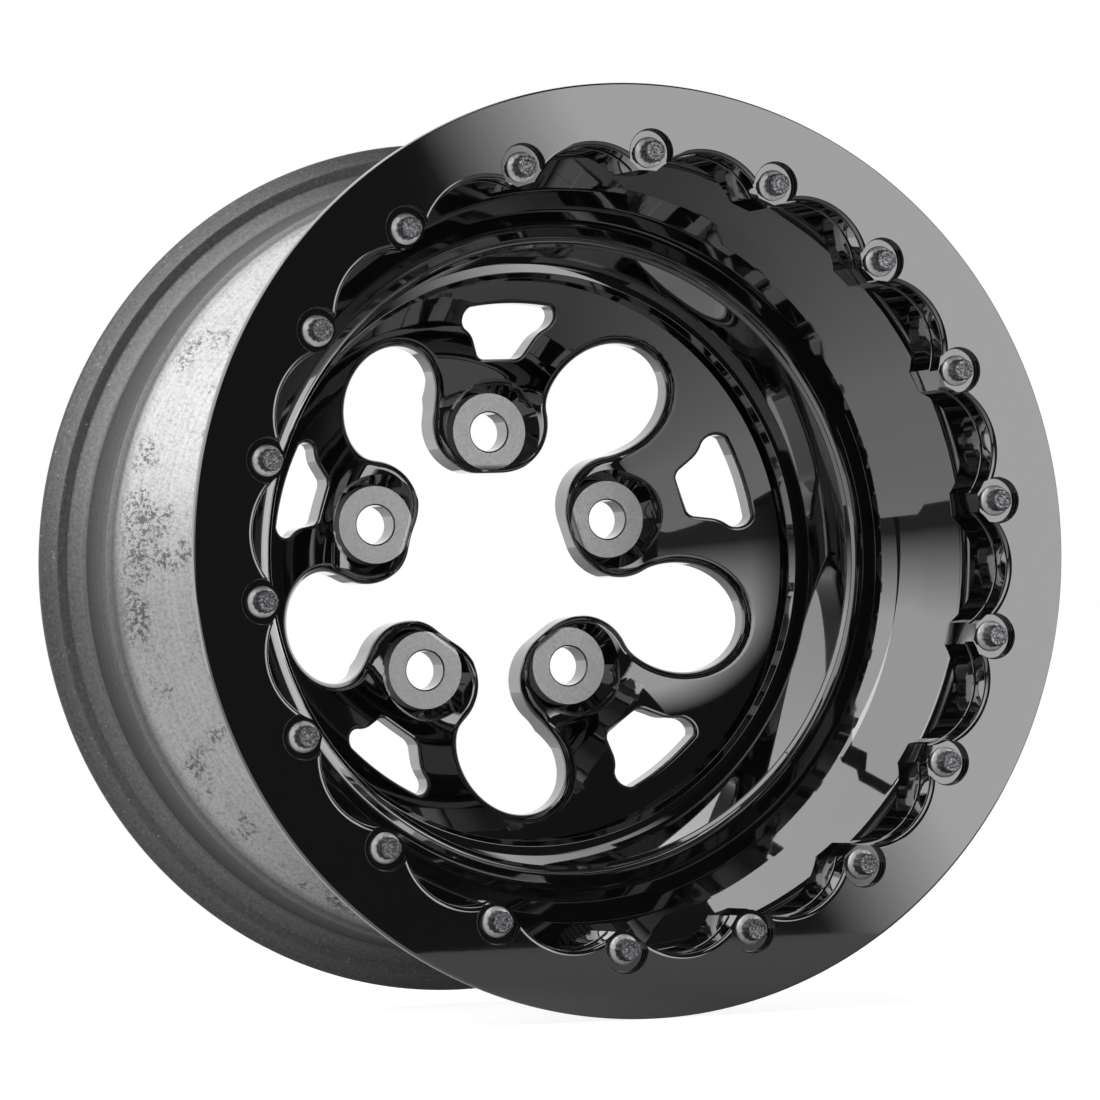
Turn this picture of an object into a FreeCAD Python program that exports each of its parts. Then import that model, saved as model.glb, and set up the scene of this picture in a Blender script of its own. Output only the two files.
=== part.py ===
# Deep-dish drag racing wheel with a bolted tyre clamp ring, modelled in millimetres.
# The axle is the Y axis, the dish faces -Y, and the origin is the middle of the hub face.
# Sketches measure depth back from the clamp ring's front face, so every coordinate is positive.
import FreeCAD, Part
import math
import os
import Sketcher

doc = FreeCAD.newDocument("drag_wheel")
dim = doc.addObject("Spreadsheet::Sheet", "dim")

SIZES = [
    # Hub interface
    ("hub_face_depth", 201.0),
    ("lug_count", 5),
    ("lug_circle_dia", 127.0),
    ("lug_hole_dia", 19.0),
    ("lug_seat_dia", 37.5),
    ("lug_seat_depth", 187.0),
    ("lug_mouth_chamfer", 5.2),
    # Centre
    ("pad_front_depth", 181.5),
    ("pad_front_radius", 82.0),
    ("pad_back_radius", 86.0),
    ("pad_root_radius", 95.0),
    ("pad_root_depth", 188.0),
    ("bowl_radius", 400.0),
    ("bowl_edge_radius", 134.3),
    ("bowl_edge_depth", 146.8),
    ("plate_thickness", 8.5),
    ("center_rim_dia", 284.0),
    ("center_rim_front_depth", 135.5),
    ("center_rim_back_depth", 172.0),
    ("center_rim_wall", 5.0),
    ("center_land_width", 4.5),
    ("center_land_chamfer", 2.5),
    ("tip_flat_distance", 43.5),
    ("tip_corner_radius", 24.0),
    ("lobe_radius", 26.9),
    ("lobe_center_radius", 95.5),
    ("window_inner_distance", 98.0),
    ("window_outer_radius", 124.0),
    ("window_base_half", 8.0),
    ("window_heel_half", 12.3),
    ("window_heel_rise", 3.0),
    ("window_heel_round", 5.0),
    ("window_waist_half", 15.2),
    ("window_waist_rise", 8.6),
    ("window_flare_round", 14.0),
    ("window_hip_half", 20.2),
    ("window_hip_rise", 13.8),
    ("window_hip_round", 6.0),
    # Clamp ring
    ("clamp_bolt_count", 18),
    ("clamp_circle_dia", 368.3),
    ("clamp_phase", 5.95),
    ("ring_outer_dia", 431.8),
    ("ring_inner_dia", 352.0),
    ("ring_thickness", 12.7),
    ("ring_lip_thickness", 4.0),
    ("ring_edge_chamfer", 1.2),
    ("ring_back_dia", 392.0),
    ("scallop_radius", 32.3),
    ("scallop_center_radius", 155.3),
    ("scallop_chamfer", 2.5),
    ("pocket_dia", 21.0),
    ("pocket_depth", 3.6),
    ("pocket_chamfer", 0.5),
    ("clearance_hole_dia", 8.8),
    # Bead mount ring
    ("bead_seat_dia", 381.0),
    ("bead_seat_width", 15.5),
    ("bead_flange_dia", 406.0),
    ("bead_flange_lean", 1.8),
    ("mount_ring_back_depth", 35.5),
    ("insert_hole_depth", 18.5),
    # Clamp bolts and thread inserts
    ("bolt_shank_dia", 7.9),
    ("bolt_shank_length", 26.0),
    ("bolt_flange_dia", 14.4),
    ("bolt_flange_thickness", 1.8),
    ("bolt_head_dia", 10.4),
    ("bolt_head_height", 7.4),
    ("insert_outer_dia", 9.5),
    ("insert_length", 16.0),
    # Rim halves
    ("shell_thickness", 5.0),
    ("dish_mouth_dia", 376.0),
    ("dish_mouth_length", 11.0),
    ("dish_flare_round", 16.0),
    ("dish_throat_radius", 149.9),
    ("dish_throat_depth", 84.6),
    ("dish_throat_round", 20.0),
    ("dish_step_run", 8.4),
    ("dish_step_drop", 1.5),
    ("dish_step_height", 1.9),
    ("dish_step_width", 1.5),
    ("well_start_depth", 130.0),
    ("split_depth", 154.0),
    ("well_end_depth", 174.0),
    # The inner half's cone, bead and flange depths run forward from its rear edge.
    ("inner_cone_radius", 186.0),
    ("inner_cone_depth", 52.0),
    ("inner_bead_radius", 189.0),
    ("inner_bead_depth", 46.0),
    ("inner_flange_depth", 20.0),
    ("inner_flange_dia", 419.1),
    ("inner_lip_width", 6.0),
    ("overall_depth", 260.0),
    ("valve_hole_dia", 11.5),
    ("valve_hole_depth", 112.0),
    # Seam beads
    ("seam_leg", 4.0),
    ("split_seam_width", 6.0),
    ("split_seam_round", 3.75),
]

for row, (alias, number) in enumerate(SIZES, start=1):
    dim.set("A%d" % row, alias)
    dim.set("B%d" % row, str(number))
    dim.setAlias("B%d" % row, alias)
doc.recompute()


def size(expression):
    """Number that an expression over the sheet has now."""
    return float(dim.evalExpression(expression))


def new_body(label, turned=False, start="0"):
    """Body whose sketches start at a depth behind the clamp ring's front face."""
    body = doc.addObject("PartDesign::Body", label)
    body.Label = label
    body.AllowCompound = True
    axle = FreeCAD.Vector(0, 1, 0)
    body.Placement = FreeCAD.Placement(FreeCAD.Vector(0, 0, 0), FreeCAD.Rotation(axle, 1.0))
    body.setExpression("Placement.Base.y", "%s - dim.hub_face_depth" % start)
    body.setExpression("Placement.Rotation.Angle", "dim.clamp_phase" if turned else "0")
    return body


def new_sketch(body, plane, name):
    """Empty sketch on one of the body's own origin planes."""
    sketch = body.newObject("Sketcher::SketchObject", name)
    planes = [item for item in body.Origin.OriginFeatures if item.Role == plane]
    sketch.AttachmentSupport = (planes[0], [""])
    sketch.MapMode = "FlatFace"
    return sketch


def arc_between(start, end, radius, side):
    """Minor arc from start to end; side +1 puts its centre on the left of the way there."""
    chord = end - start
    middle = (start + end) * 0.5
    left = FreeCAD.Vector(-chord.y, chord.x, 0).normalize()
    rise = math.sqrt(max(radius ** 2 - (chord.Length / 2) ** 2, 0.0))
    center = middle + left * (rise * side)
    first, last = (start, end) if side > 0 else (end, start)
    circle = Part.Circle(center, FreeCAD.Vector(0, 0, 1), radius)
    from_angle = math.atan2(first.y - center.y, first.x - center.x)
    to_angle = math.atan2(last.y - center.y, last.x - center.x)
    return Part.ArcOfCircle(circle, from_angle, to_angle)


def pin(sketch, edge, end, x_size, y_size):
    """Fixes one end of an edge at sheet-driven coordinates."""
    for kind, expression, axis in (("DistanceX", x_size, -2), ("DistanceY", y_size, -1)):
        if expression == "0":
            sketch.addConstraint(Sketcher.Constraint("PointOnObject", edge, end, axis))
            continue
        index = sketch.addConstraint(Sketcher.Constraint(kind, -1, 1, edge, end, size(expression)))
        sketch.setExpression("Constraints[%d]" % index, expression)


def draw_outline(sketch, corners, arcs=None):
    """Closed outline through sheet-driven corners; arcs maps an edge's number to (radius, side)."""
    arcs = arcs or {}
    points = [FreeCAD.Vector(size(x), size(y), 0) for x, y in corners]
    edges = []
    for number, start in enumerate(points):
        end = points[(number + 1) % len(points)]
        if number in arcs:
            radius, side = arcs[number]
            index = sketch.addGeometry(arc_between(start, end, size(radius), side), False)
            limit = sketch.addConstraint(Sketcher.Constraint("Radius", index, size(radius)))
            sketch.setExpression("Constraints[%d]" % limit, radius)
            edges.append((index, 1, 2) if side > 0 else (index, 2, 1))
        else:
            index = sketch.addGeometry(Part.LineSegment(start, end), False)
            edges.append((index, 1, 2))
    for number, (index, first, _) in enumerate(edges):
        before, _, last = edges[number - 1]
        sketch.addConstraint(Sketcher.Constraint("Coincident", before, last, index, first))
        pin(sketch, index, first, *corners[number])


def draw_axis(sketch, height):
    """Construction line along the sketch's first axis at a sheet-driven height."""
    level = size(height)
    line = Part.LineSegment(FreeCAD.Vector(10, level, 0), FreeCAD.Vector(40, level, 0))
    index = sketch.addGeometry(line, True)
    pin(sketch, index, 1, "10", height)
    pin(sketch, index, 2, "40", height)


def revolve(body, corners, arcs=None):
    """Turned solid from corners given as (radius, depth)."""
    sketch = new_sketch(body, "XY_Plane", "Profile")
    draw_outline(sketch, corners, arcs)
    feature = body.newObject("PartDesign::Revolution", "Turned")
    feature.Profile = sketch
    feature.ReferenceAxis = (sketch, ["V_Axis"])
    feature.Angle = 360
    doc.recompute()
    return feature, sketch


def spin_tool(body, kind, name, axis_radius, corners, arcs=None, offset="0"):
    """Round feature about an axis parallel to the axle; corners are (depth, radius from that axis)."""
    sketch = new_sketch(body, "YZ_Plane", name + "Profile")
    along = FreeCAD.Rotation(FreeCAD.Vector(1, 0, 0), 1.0)
    sketch.AttachmentOffset = FreeCAD.Placement(FreeCAD.Vector(0, 0, 0), along)
    sketch.setExpression("AttachmentOffset.Rotation.Angle", offset)
    raised = [(depth, "%s + %s" % (axis_radius, radius)) for depth, radius in corners]
    draw_outline(sketch, raised, arcs)
    draw_axis(sketch, axis_radius)
    feature = body.newObject("PartDesign::" + kind, name)
    feature.Profile = sketch
    feature.ReferenceAxis = (sketch, ["Axis0"])
    feature.Angle = 360
    doc.recompute()
    return feature


def cut_through(body, name, corners, arcs=None):
    """Opening cut right through along the axle; corners are (x, z)."""
    sketch = new_sketch(body, "XZ_Plane", name + "Outline")
    draw_outline(sketch, corners, arcs)
    feature = body.newObject("PartDesign::Pocket", name)
    feature.Profile = sketch
    feature.Type = "ThroughAll"
    feature.SideType = "Symmetric"
    doc.recompute()
    return feature


def repeat(body, name, feature, axis_sketch, count, axle="V_Axis"):
    """Copies a feature evenly round the axle, which is one of a sketch's own axes."""
    pattern = body.newObject("PartDesign::PolarPattern", name)
    pattern.Originals = [feature]
    pattern.Axis = (axis_sketch, [axle])
    pattern.Angle = 360
    pattern.setExpression("Occurrences", count)
    body.Tip = pattern
    doc.recompute()
    return pattern


def soften(body, name, base, wanted, radius):
    """Rounds the edges of the last feature that a test picks."""
    names = []
    for number, edge in enumerate(base.Shape.Edges, start=1):
        if wanted(edge):
            names.append("Edge%d" % number)
    feature = body.newObject("PartDesign::Fillet", name)
    feature.Base = (base, names)
    feature.setExpression("Radius", radius)
    body.Tip = feature
    doc.recompute()
    return feature


def ring_edge(radius, depth):
    """Test for the circular edge of a turned piece at one radius and depth."""
    def wanted(edge):
        curve = edge.Curve
        if not isinstance(curve, Part.Circle):
            return False
        same_radius = abs(curve.Radius - size(radius)) < 1e-3
        return same_radius and abs(curve.Center.y - size(depth)) < 1e-3
    return wanted


def mirrored(x, z):
    """Point mirrored across the middle of the gap between two fingers."""
    step = "360 / dim.lug_count"
    over = "(%s) * sin(%s) - (%s) * cos(%s)" % (z, step, x, step)
    along = "(%s) * cos(%s) + (%s) * sin(%s)" % (z, step, x, step)
    return over, along


def build_center():
    """Forged centre: dished plate with five lug fingers, lobed hub opening and windows."""
    body = new_body("wheel_center")
    lug = "dim.lug_circle_dia / 2"
    back_edge = "dim.center_rim_dia / 2 - dim.center_rim_wall"
    back_plate = "dim.bowl_edge_depth + dim.plate_thickness"
    rim = "dim.center_rim_dia / 2"
    corners = [
        ("dim.tip_flat_distance / 2", "dim.pad_front_depth"),
        ("dim.pad_front_radius", "dim.pad_front_depth"),
        ("dim.bowl_edge_radius", "dim.bowl_edge_depth"),
        (rim + " - dim.center_land_width - dim.center_land_chamfer",
         "dim.center_rim_front_depth + dim.center_land_chamfer"),
        (rim + " - dim.center_land_width", "dim.center_rim_front_depth"),
        (rim, "dim.center_rim_front_depth"),
        (rim, "dim.center_rim_back_depth"),
        (back_edge, "dim.center_rim_back_depth"),
        (back_edge, back_plate),
        ("dim.pad_root_radius", "dim.pad_root_depth"),
        ("dim.pad_back_radius", "dim.hub_face_depth"),
        ("dim.tip_flat_distance / 2", "dim.hub_face_depth"),
    ]
    _, axis_sketch = revolve(body, corners, {1: ("dim.bowl_radius", -1)})

    turn = "180 / dim.lug_count"
    lobe_x = "dim.lobe_center_radius * sin(%s)" % turn
    lobe_z = "dim.lobe_center_radius * cos(%s)" % turn
    rise = "(%s - dim.tip_flat_distance - dim.tip_corner_radius)" % lobe_z
    span = "(dim.tip_corner_radius + dim.lobe_radius)"
    run = "sqrt(%s ^ 2 - %s ^ 2)" % (span, rise)
    flat_half = "(%s - %s)" % (lobe_x, run)
    half = [
        ("0", "dim.tip_flat_distance"),
        (flat_half, "dim.tip_flat_distance"),
        ("%s + dim.tip_corner_radius * %s / %s" % (flat_half, run, span),
         "dim.tip_flat_distance + dim.tip_corner_radius * (1 + %s / %s)" % (rise, span)),
    ]
    crown = "(dim.lobe_center_radius + dim.lobe_radius)"
    outermost = ("%s * sin(%s)" % (crown, turn), "%s * cos(%s)" % (crown, turn))
    sector = [("0", "0")] + half + [outermost] + [mirrored(x, z) for x, z in reversed(half)]
    bends = {
        2: ("dim.tip_corner_radius", 1),
        3: ("dim.lobe_radius", -1),
        4: ("dim.lobe_radius", -1),
        5: ("dim.tip_corner_radius", 1),
    }
    lobe = cut_through(body, "Lobe", sector, bends)
    repeat(body, "Lobes", lobe, axis_sketch, "dim.lug_count")

    window = cut_window(body)
    repeat(body, "Windows", window, axis_sketch, "dim.lug_count")

    seat = [
        ("dim.lug_seat_depth", "0"),
        ("dim.lug_seat_depth", "dim.lug_seat_dia / 2"),
        ("dim.pad_front_depth + dim.lug_mouth_chamfer", "dim.lug_seat_dia / 2"),
        ("dim.pad_front_depth", "dim.lug_seat_dia / 2 + dim.lug_mouth_chamfer"),
        ("dim.bowl_edge_depth", "dim.lug_seat_dia / 2 + dim.lug_mouth_chamfer"),
        ("dim.bowl_edge_depth", "0"),
    ]
    recess = spin_tool(body, "Groove", "LugSeat", lug, seat)
    repeat(body, "LugSeats", recess, axis_sketch, "dim.lug_count")
    bore = [
        ("dim.lug_seat_depth - 1", "0"),
        ("dim.lug_seat_depth - 1", "dim.lug_hole_dia / 2"),
        ("dim.hub_face_depth + 1", "dim.lug_hole_dia / 2"),
        ("dim.hub_face_depth + 1", "0"),
    ]
    hole = spin_tool(body, "Groove", "LugHole", lug, bore)
    repeat(body, "LugHoles", hole, axis_sketch, "dim.lug_count")
    return body


def cut_window(body):
    """Rounded opening outboard of the top lug, wider towards the rim."""
    low = "dim.window_inner_distance"
    top = "dim.window_outer_radius"
    right = [
        ("dim.window_base_half", low),
        ("dim.window_heel_half", low + " + dim.window_heel_rise"),
        ("dim.window_waist_half", low + " + dim.window_waist_rise"),
        ("dim.window_hip_half", low + " + dim.window_hip_rise"),
        ("dim.window_hip_half", "sqrt(%s ^ 2 - dim.window_hip_half ^ 2)" % top),
    ]
    bends = {
        0: ("dim.window_heel_round", 1),
        2: ("dim.window_flare_round", -1),
        3: ("dim.window_hip_round", 1),
    }
    sketch = new_sketch(body, "XZ_Plane", "WindowOutline")
    draw_mirrored(sketch, right, bends, top)
    feature = body.newObject("PartDesign::Pocket", "Window")
    feature.Profile = sketch
    feature.Type = "ThroughAll"
    feature.SideType = "Symmetric"
    doc.recompute()
    return feature


def draw_mirrored(sketch, right, arcs, top_radius):
    """Closed outline from its right half, bottom to top, with an arc round the axle closing the top."""
    points = [FreeCAD.Vector(size(x), size(z), 0) for x, z in right]
    flipped = [FreeCAD.Vector(-point.x, point.y, 0) for point in points]
    ends = {}
    for number in range(len(points) - 1):
        for side, row in ((1, points), (-1, flipped)):
            start, end = row[number], row[number + 1]
            if number in arcs:
                radius, bend = arcs[number]
                bend = bend * side
                index = sketch.addGeometry(arc_between(start, end, size(radius), bend), False)
                limit = sketch.addConstraint(Sketcher.Constraint("Radius", index, size(radius)))
                sketch.setExpression("Constraints[%d]" % limit, radius)
                first, last = (1, 2) if bend > 0 else (2, 1)
            else:
                index = sketch.addGeometry(Part.LineSegment(start, end), False)
                first, last = 1, 2
            ends[side, number] = (index, first, last)
    base = sketch.addGeometry(Part.LineSegment(flipped[0], points[0]), False)
    crown = sketch.addGeometry(arc_between(points[-1], flipped[-1], size(top_radius), 1), False)
    limit = sketch.addConstraint(Sketcher.Constraint("Radius", crown, size(top_radius)))
    sketch.setExpression("Constraints[%d]" % limit, top_radius)
    last_edge = len(points) - 2
    for side, base_end, crown_end in ((1, 2, 1), (-1, 1, 2)):
        chain = [(base, base_end)]
        for number in range(len(points) - 1):
            index, first, last = ends[side, number]
            sketch.addConstraint(Sketcher.Constraint("Coincident", *chain[-1], index, first))
            chain.append((index, last))
        sketch.addConstraint(Sketcher.Constraint("Coincident", *chain[-1], crown, crown_end))
    for number, (x, z) in enumerate(right):
        edge = min(number, last_edge)
        end = 1 if number <= last_edge else 2
        mine, other = ends[1, edge], ends[-1, edge]
        pin(sketch, mine[0], mine[end], x, z)
        sketch.addConstraint(Sketcher.Constraint("Symmetric", mine[0], mine[end], other[0], other[end], -2))


def build_clamp_ring():
    """Scalloped ring that holds the tyre bead, with a flat-bottomed pocket for each bolt."""
    body = new_body("clamp_ring", turned=True)
    edge = "dim.ring_outer_dia / 2"
    chamfer = "dim.ring_edge_chamfer"
    corners = [
        ("dim.ring_inner_dia / 2", "0"),
        ("%s - %s" % (edge, chamfer), "0"),
        (edge, chamfer),
        (edge, "dim.ring_lip_thickness - %s" % chamfer),
        ("%s - %s" % (edge, chamfer), "dim.ring_lip_thickness"),
        ("dim.ring_back_dia / 2", "dim.ring_thickness"),
        ("dim.ring_inner_dia / 2", "dim.ring_thickness"),
    ]
    _, axis_sketch = revolve(body, corners)
    scallop = [
        ("0", "0"),
        ("0", "dim.scallop_radius + dim.scallop_chamfer"),
        ("dim.scallop_chamfer", "dim.scallop_radius"),
        ("dim.ring_thickness", "dim.scallop_radius"),
        ("dim.ring_thickness", "0"),
    ]
    half_step = "180 / dim.clamp_bolt_count"
    bite = spin_tool(body, "Groove", "Scallop", "dim.scallop_center_radius", scallop, offset=half_step)
    repeat(body, "Scallops", bite, axis_sketch, "dim.clamp_bolt_count")
    pocket = [
        ("0", "0"),
        ("0", "dim.pocket_dia / 2 + dim.pocket_chamfer"),
        ("dim.pocket_chamfer", "dim.pocket_dia / 2"),
        ("dim.pocket_depth", "dim.pocket_dia / 2"),
        ("dim.pocket_depth", "dim.clearance_hole_dia / 2"),
        ("dim.ring_thickness", "dim.clearance_hole_dia / 2"),
        ("dim.ring_thickness", "0"),
    ]
    seat = spin_tool(body, "Groove", "Pocket", "dim.clamp_circle_dia / 2", pocket)
    repeat(body, "Pockets", seat, axis_sketch, "dim.clamp_bolt_count")
    return body


def build_mount_ring():
    """Ring behind the clamp ring: same scallops, bead seat, bead flange and blind holes for the inserts."""
    body = new_body("bead_mount_ring", turned=True)
    flange = "dim.bead_flange_dia / 2"
    corners = [
        ("dim.ring_inner_dia / 2", "dim.ring_thickness"),
        ("dim.bead_seat_dia / 2", "dim.ring_thickness"),
        ("dim.bead_seat_dia / 2", "dim.ring_thickness + dim.bead_seat_width"),
        (flange, "dim.ring_thickness + dim.bead_seat_width + dim.bead_flange_lean"),
        (flange, "dim.mount_ring_back_depth"),
        ("dim.ring_inner_dia / 2", "dim.mount_ring_back_depth"),
    ]
    _, axis_sketch = revolve(body, corners)
    bite = [
        ("dim.ring_thickness", "0"),
        ("dim.ring_thickness", "dim.scallop_radius"),
        ("dim.mount_ring_back_depth", "dim.scallop_radius"),
        ("dim.mount_ring_back_depth", "0"),
    ]
    half_step = "180 / dim.clamp_bolt_count"
    scallop = spin_tool(body, "Groove", "MountScallop", "dim.scallop_center_radius", bite, offset=half_step)
    repeat(body, "MountScallops", scallop, axis_sketch, "dim.clamp_bolt_count")
    drilled = [
        ("dim.ring_thickness", "0"),
        ("dim.ring_thickness", "dim.insert_outer_dia / 2"),
        ("dim.ring_thickness + dim.insert_hole_depth", "dim.insert_outer_dia / 2"),
        ("dim.ring_thickness + dim.insert_hole_depth", "0"),
    ]
    hole = spin_tool(body, "Groove", "InsertHole", "dim.clamp_circle_dia / 2", drilled)
    repeat(body, "InsertHoles", hole, axis_sketch, "dim.clamp_bolt_count")
    return body


def build_outer_half():
    """Spun dish between the bead mount ring and the centre, with the valve hole in its wall."""
    body = new_body("outer_rim_half")
    mouth = "dim.dish_mouth_dia / 2"
    flare_depth = "dim.mount_ring_back_depth + dim.dish_mouth_length"
    throat = "dim.dish_throat_radius"
    step = "dim.dish_throat_radius - dim.dish_step_drop"
    step_depth = "dim.dish_throat_depth + dim.dish_step_run"
    well = "dim.center_rim_dia / 2"
    wall = "dim.shell_thickness"
    corners = [
        (mouth, "dim.mount_ring_back_depth"),
        (mouth, flare_depth),
        (throat, "dim.dish_throat_depth"),
        (step, step_depth),
        (step + " - dim.dish_step_height", step_depth + " + dim.dish_step_width"),
        (well, "dim.well_start_depth"),
        (well, "dim.split_depth"),
        ("%s + %s" % (well, wall), "dim.split_depth"),
        ("%s + %s" % (well, wall), "dim.well_start_depth"),
        ("%s - dim.dish_step_height + %s" % (step, wall), "%s + dim.dish_step_width + %s" % (step_depth, wall)),
        ("%s + %s" % (throat, wall), "dim.dish_throat_depth + %s / 2" % wall),
        ("%s + %s" % (mouth, wall), "%s + 0.4 * %s" % (flare_depth, wall)),
        ("%s + %s" % (mouth, wall), "dim.mount_ring_back_depth"),
    ]
    turned, _ = revolve(body, corners)
    flare = soften(body, "DishFlare", turned, ring_edge(mouth, flare_depth), "dim.dish_flare_round")
    throat_edge = ring_edge(throat, "dim.dish_throat_depth")
    inside = soften(body, "DishThroat", flare, throat_edge, "dim.dish_throat_round")
    flare_back = ring_edge("%s + %s" % (mouth, wall), "%s + 0.4 * %s" % (flare_depth, wall))
    outside = soften(body, "FlareBack", inside, flare_back, "dim.dish_flare_round - %s" % wall)
    throat_back = ring_edge("%s + %s" % (throat, wall), "dim.dish_throat_depth + %s / 2" % wall)
    soften(body, "ThroatBack", outside, throat_back, "dim.dish_throat_round + %s" % wall)
    sketch = new_sketch(body, "YZ_Plane", "ValveOutline")
    circle = Part.Circle(FreeCAD.Vector(1, 0, 0), FreeCAD.Vector(0, 0, 1), size("dim.valve_hole_dia / 2"))
    sketch.addGeometry(circle, False)
    pin(sketch, 0, 3, "dim.valve_hole_depth", "0")
    limit = sketch.addConstraint(Sketcher.Constraint("Diameter", 0, size("dim.valve_hole_dia")))
    sketch.setExpression("Constraints[%d]" % limit, "dim.valve_hole_dia")
    hole = body.newObject("PartDesign::Pocket", "ValveHole")
    hole.Profile = sketch
    hole.Type = "ThroughAll"
    doc.recompute()
    return body


def build_inner_half():
    """Spun barrel behind the centre, ending in the rear bead seat and flange."""
    body = new_body("inner_rim_half")
    well = "dim.center_rim_dia / 2"
    wall = "dim.shell_thickness"
    flange = "dim.inner_flange_dia / 2"
    seat = "dim.inner_bead_radius"
    back = "dim.overall_depth"
    cone_depth = back + " - dim.inner_cone_depth"
    bead_depth = back + " - dim.inner_bead_depth"
    flange_depth = back + " - dim.inner_flange_depth"
    lip = "dim.inner_lip_width"
    corners = [
        ("%s + %s" % (well, wall), "dim.split_depth"),
        ("%s + %s" % (well, wall), "dim.well_end_depth"),
        ("dim.inner_cone_radius", cone_depth),
        (seat, bead_depth),
        (seat + " + 1.9", flange_depth),
        (flange + " - 11.5", flange_depth + " + 6"),
        (flange + " - 6.5", flange_depth + " + 7.5"),
        (flange, "%s - %s" % (back, lip)),
        (flange, back + " - 3"),
        (flange + " - 3.5", back),
        ("%s - %s" % (flange, lip), back),
        ("%s - %s" % (flange, lip), back + " - 2.5"),
        ("%s - %s - 4.5" % (flange, lip), back + " - 8.5"),
        ("%s - %s - 10.5" % (flange, lip), back + " - 10.5"),
        ("%s + 1.4 - %s" % (seat, wall), flange_depth + " + 1"),
        ("%s + 0.5 - %s" % (seat, wall), bead_depth),
        ("dim.inner_cone_radius + 1.5 - %s" % wall, cone_depth + " + 2"),
        (well, "dim.well_end_depth + 3"),
        (well, "dim.split_depth"),
    ]
    revolve(body, corners)
    return body


def build_bolts():
    """Flanged clamp bolts, heads standing forward out of their pockets."""
    flange_back = "(dim.bolt_head_height + dim.bolt_flange_thickness)"
    body = new_body("clamp_bolts", turned=True, start="dim.pocket_depth - %s" % flange_back)
    profile = [
        ("0", "0"),
        ("0", "dim.bolt_head_dia / 2 - 0.8"),
        ("0.8", "dim.bolt_head_dia / 2"),
        ("dim.bolt_head_height", "dim.bolt_head_dia / 2"),
        ("dim.bolt_head_height + dim.bolt_flange_thickness / 3", "dim.bolt_flange_dia / 2"),
        (flange_back, "dim.bolt_flange_dia / 2"),
        (flange_back, "dim.bolt_shank_dia / 2"),
        (flange_back + " + dim.bolt_shank_length", "dim.bolt_shank_dia / 2"),
        (flange_back + " + dim.bolt_shank_length", "0"),
    ]
    bolt = spin_tool(body, "Revolution", "Bolt", "dim.clamp_circle_dia / 2", profile)
    repeat(body, "Bolts", bolt, bolt.Profile[0], "dim.clamp_bolt_count", "H_Axis")
    return body


def build_inserts():
    """Thread inserts in the bead mount ring, one round each bolt shank."""
    body = new_body("thread_inserts", turned=True, start="dim.ring_thickness + 1")
    profile = [
        ("0", "dim.bolt_shank_dia / 2"),
        ("0", "dim.insert_outer_dia / 2"),
        ("dim.insert_length", "dim.insert_outer_dia / 2"),
        ("dim.insert_length", "dim.bolt_shank_dia / 2"),
    ]
    insert = spin_tool(body, "Revolution", "Insert", "dim.clamp_circle_dia / 2", profile)
    repeat(body, "Inserts", insert, insert.Profile[0], "dim.clamp_bolt_count", "H_Axis")
    return body


def build_seam(label, corners, arcs=None):
    """Turned bead of filler metal that joins two pieces."""
    body = new_body(label)
    revolve(body, corners, arcs)
    return body


well_inside = "dim.center_rim_dia / 2"
well_outside = "dim.center_rim_dia / 2 + dim.shell_thickness"
front_outside = "dim.dish_mouth_dia / 2 + dim.shell_thickness"
center_seam = [
    (well_inside, "dim.center_rim_back_depth"),
    (well_inside, "dim.center_rim_back_depth + dim.seam_leg"),
    (well_inside + " - dim.seam_leg", "dim.center_rim_back_depth"),
]
ring_seam = [
    (front_outside, "dim.mount_ring_back_depth"),
    (front_outside + " + dim.seam_leg", "dim.mount_ring_back_depth"),
    (front_outside, "dim.mount_ring_back_depth + dim.seam_leg"),
]
split_seam = [
    (well_outside, "dim.split_depth + dim.split_seam_width / 2"),
    (well_outside, "dim.split_depth - dim.split_seam_width / 2"),
]

bodies = [
    build_center(),
    build_clamp_ring(),
    build_mount_ring(),
    build_outer_half(),
    build_inner_half(),
    build_bolts(),
    build_inserts(),
    build_seam("center_seam_bead", center_seam),
    build_seam("ring_seam_bead", ring_seam),
    build_seam("split_seam_bead", split_seam, {1: ("dim.split_seam_round", 1)}),
]
doc.recompute()

for item in doc.Objects:
    if "Invalid" in item.State or "Error" in item.State:
        raise RuntimeError("%s did not build: %s" % (item.Name, item.State))
for body in bodies:
    if body.Shape.isNull() or not body.Shape.isValid():
        raise RuntimeError("%s has no valid shape" % body.Label)

os.makedirs("parts", exist_ok=True)
for body in bodies:
    body.Shape.exportStep("parts/%s.step" % body.Label)
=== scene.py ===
import math

import bmesh
import bpy
import numpy as np
from mathutils import Matrix, Quaternion, Vector
from mathutils.geometry import delaunay_2d_cdt


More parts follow.
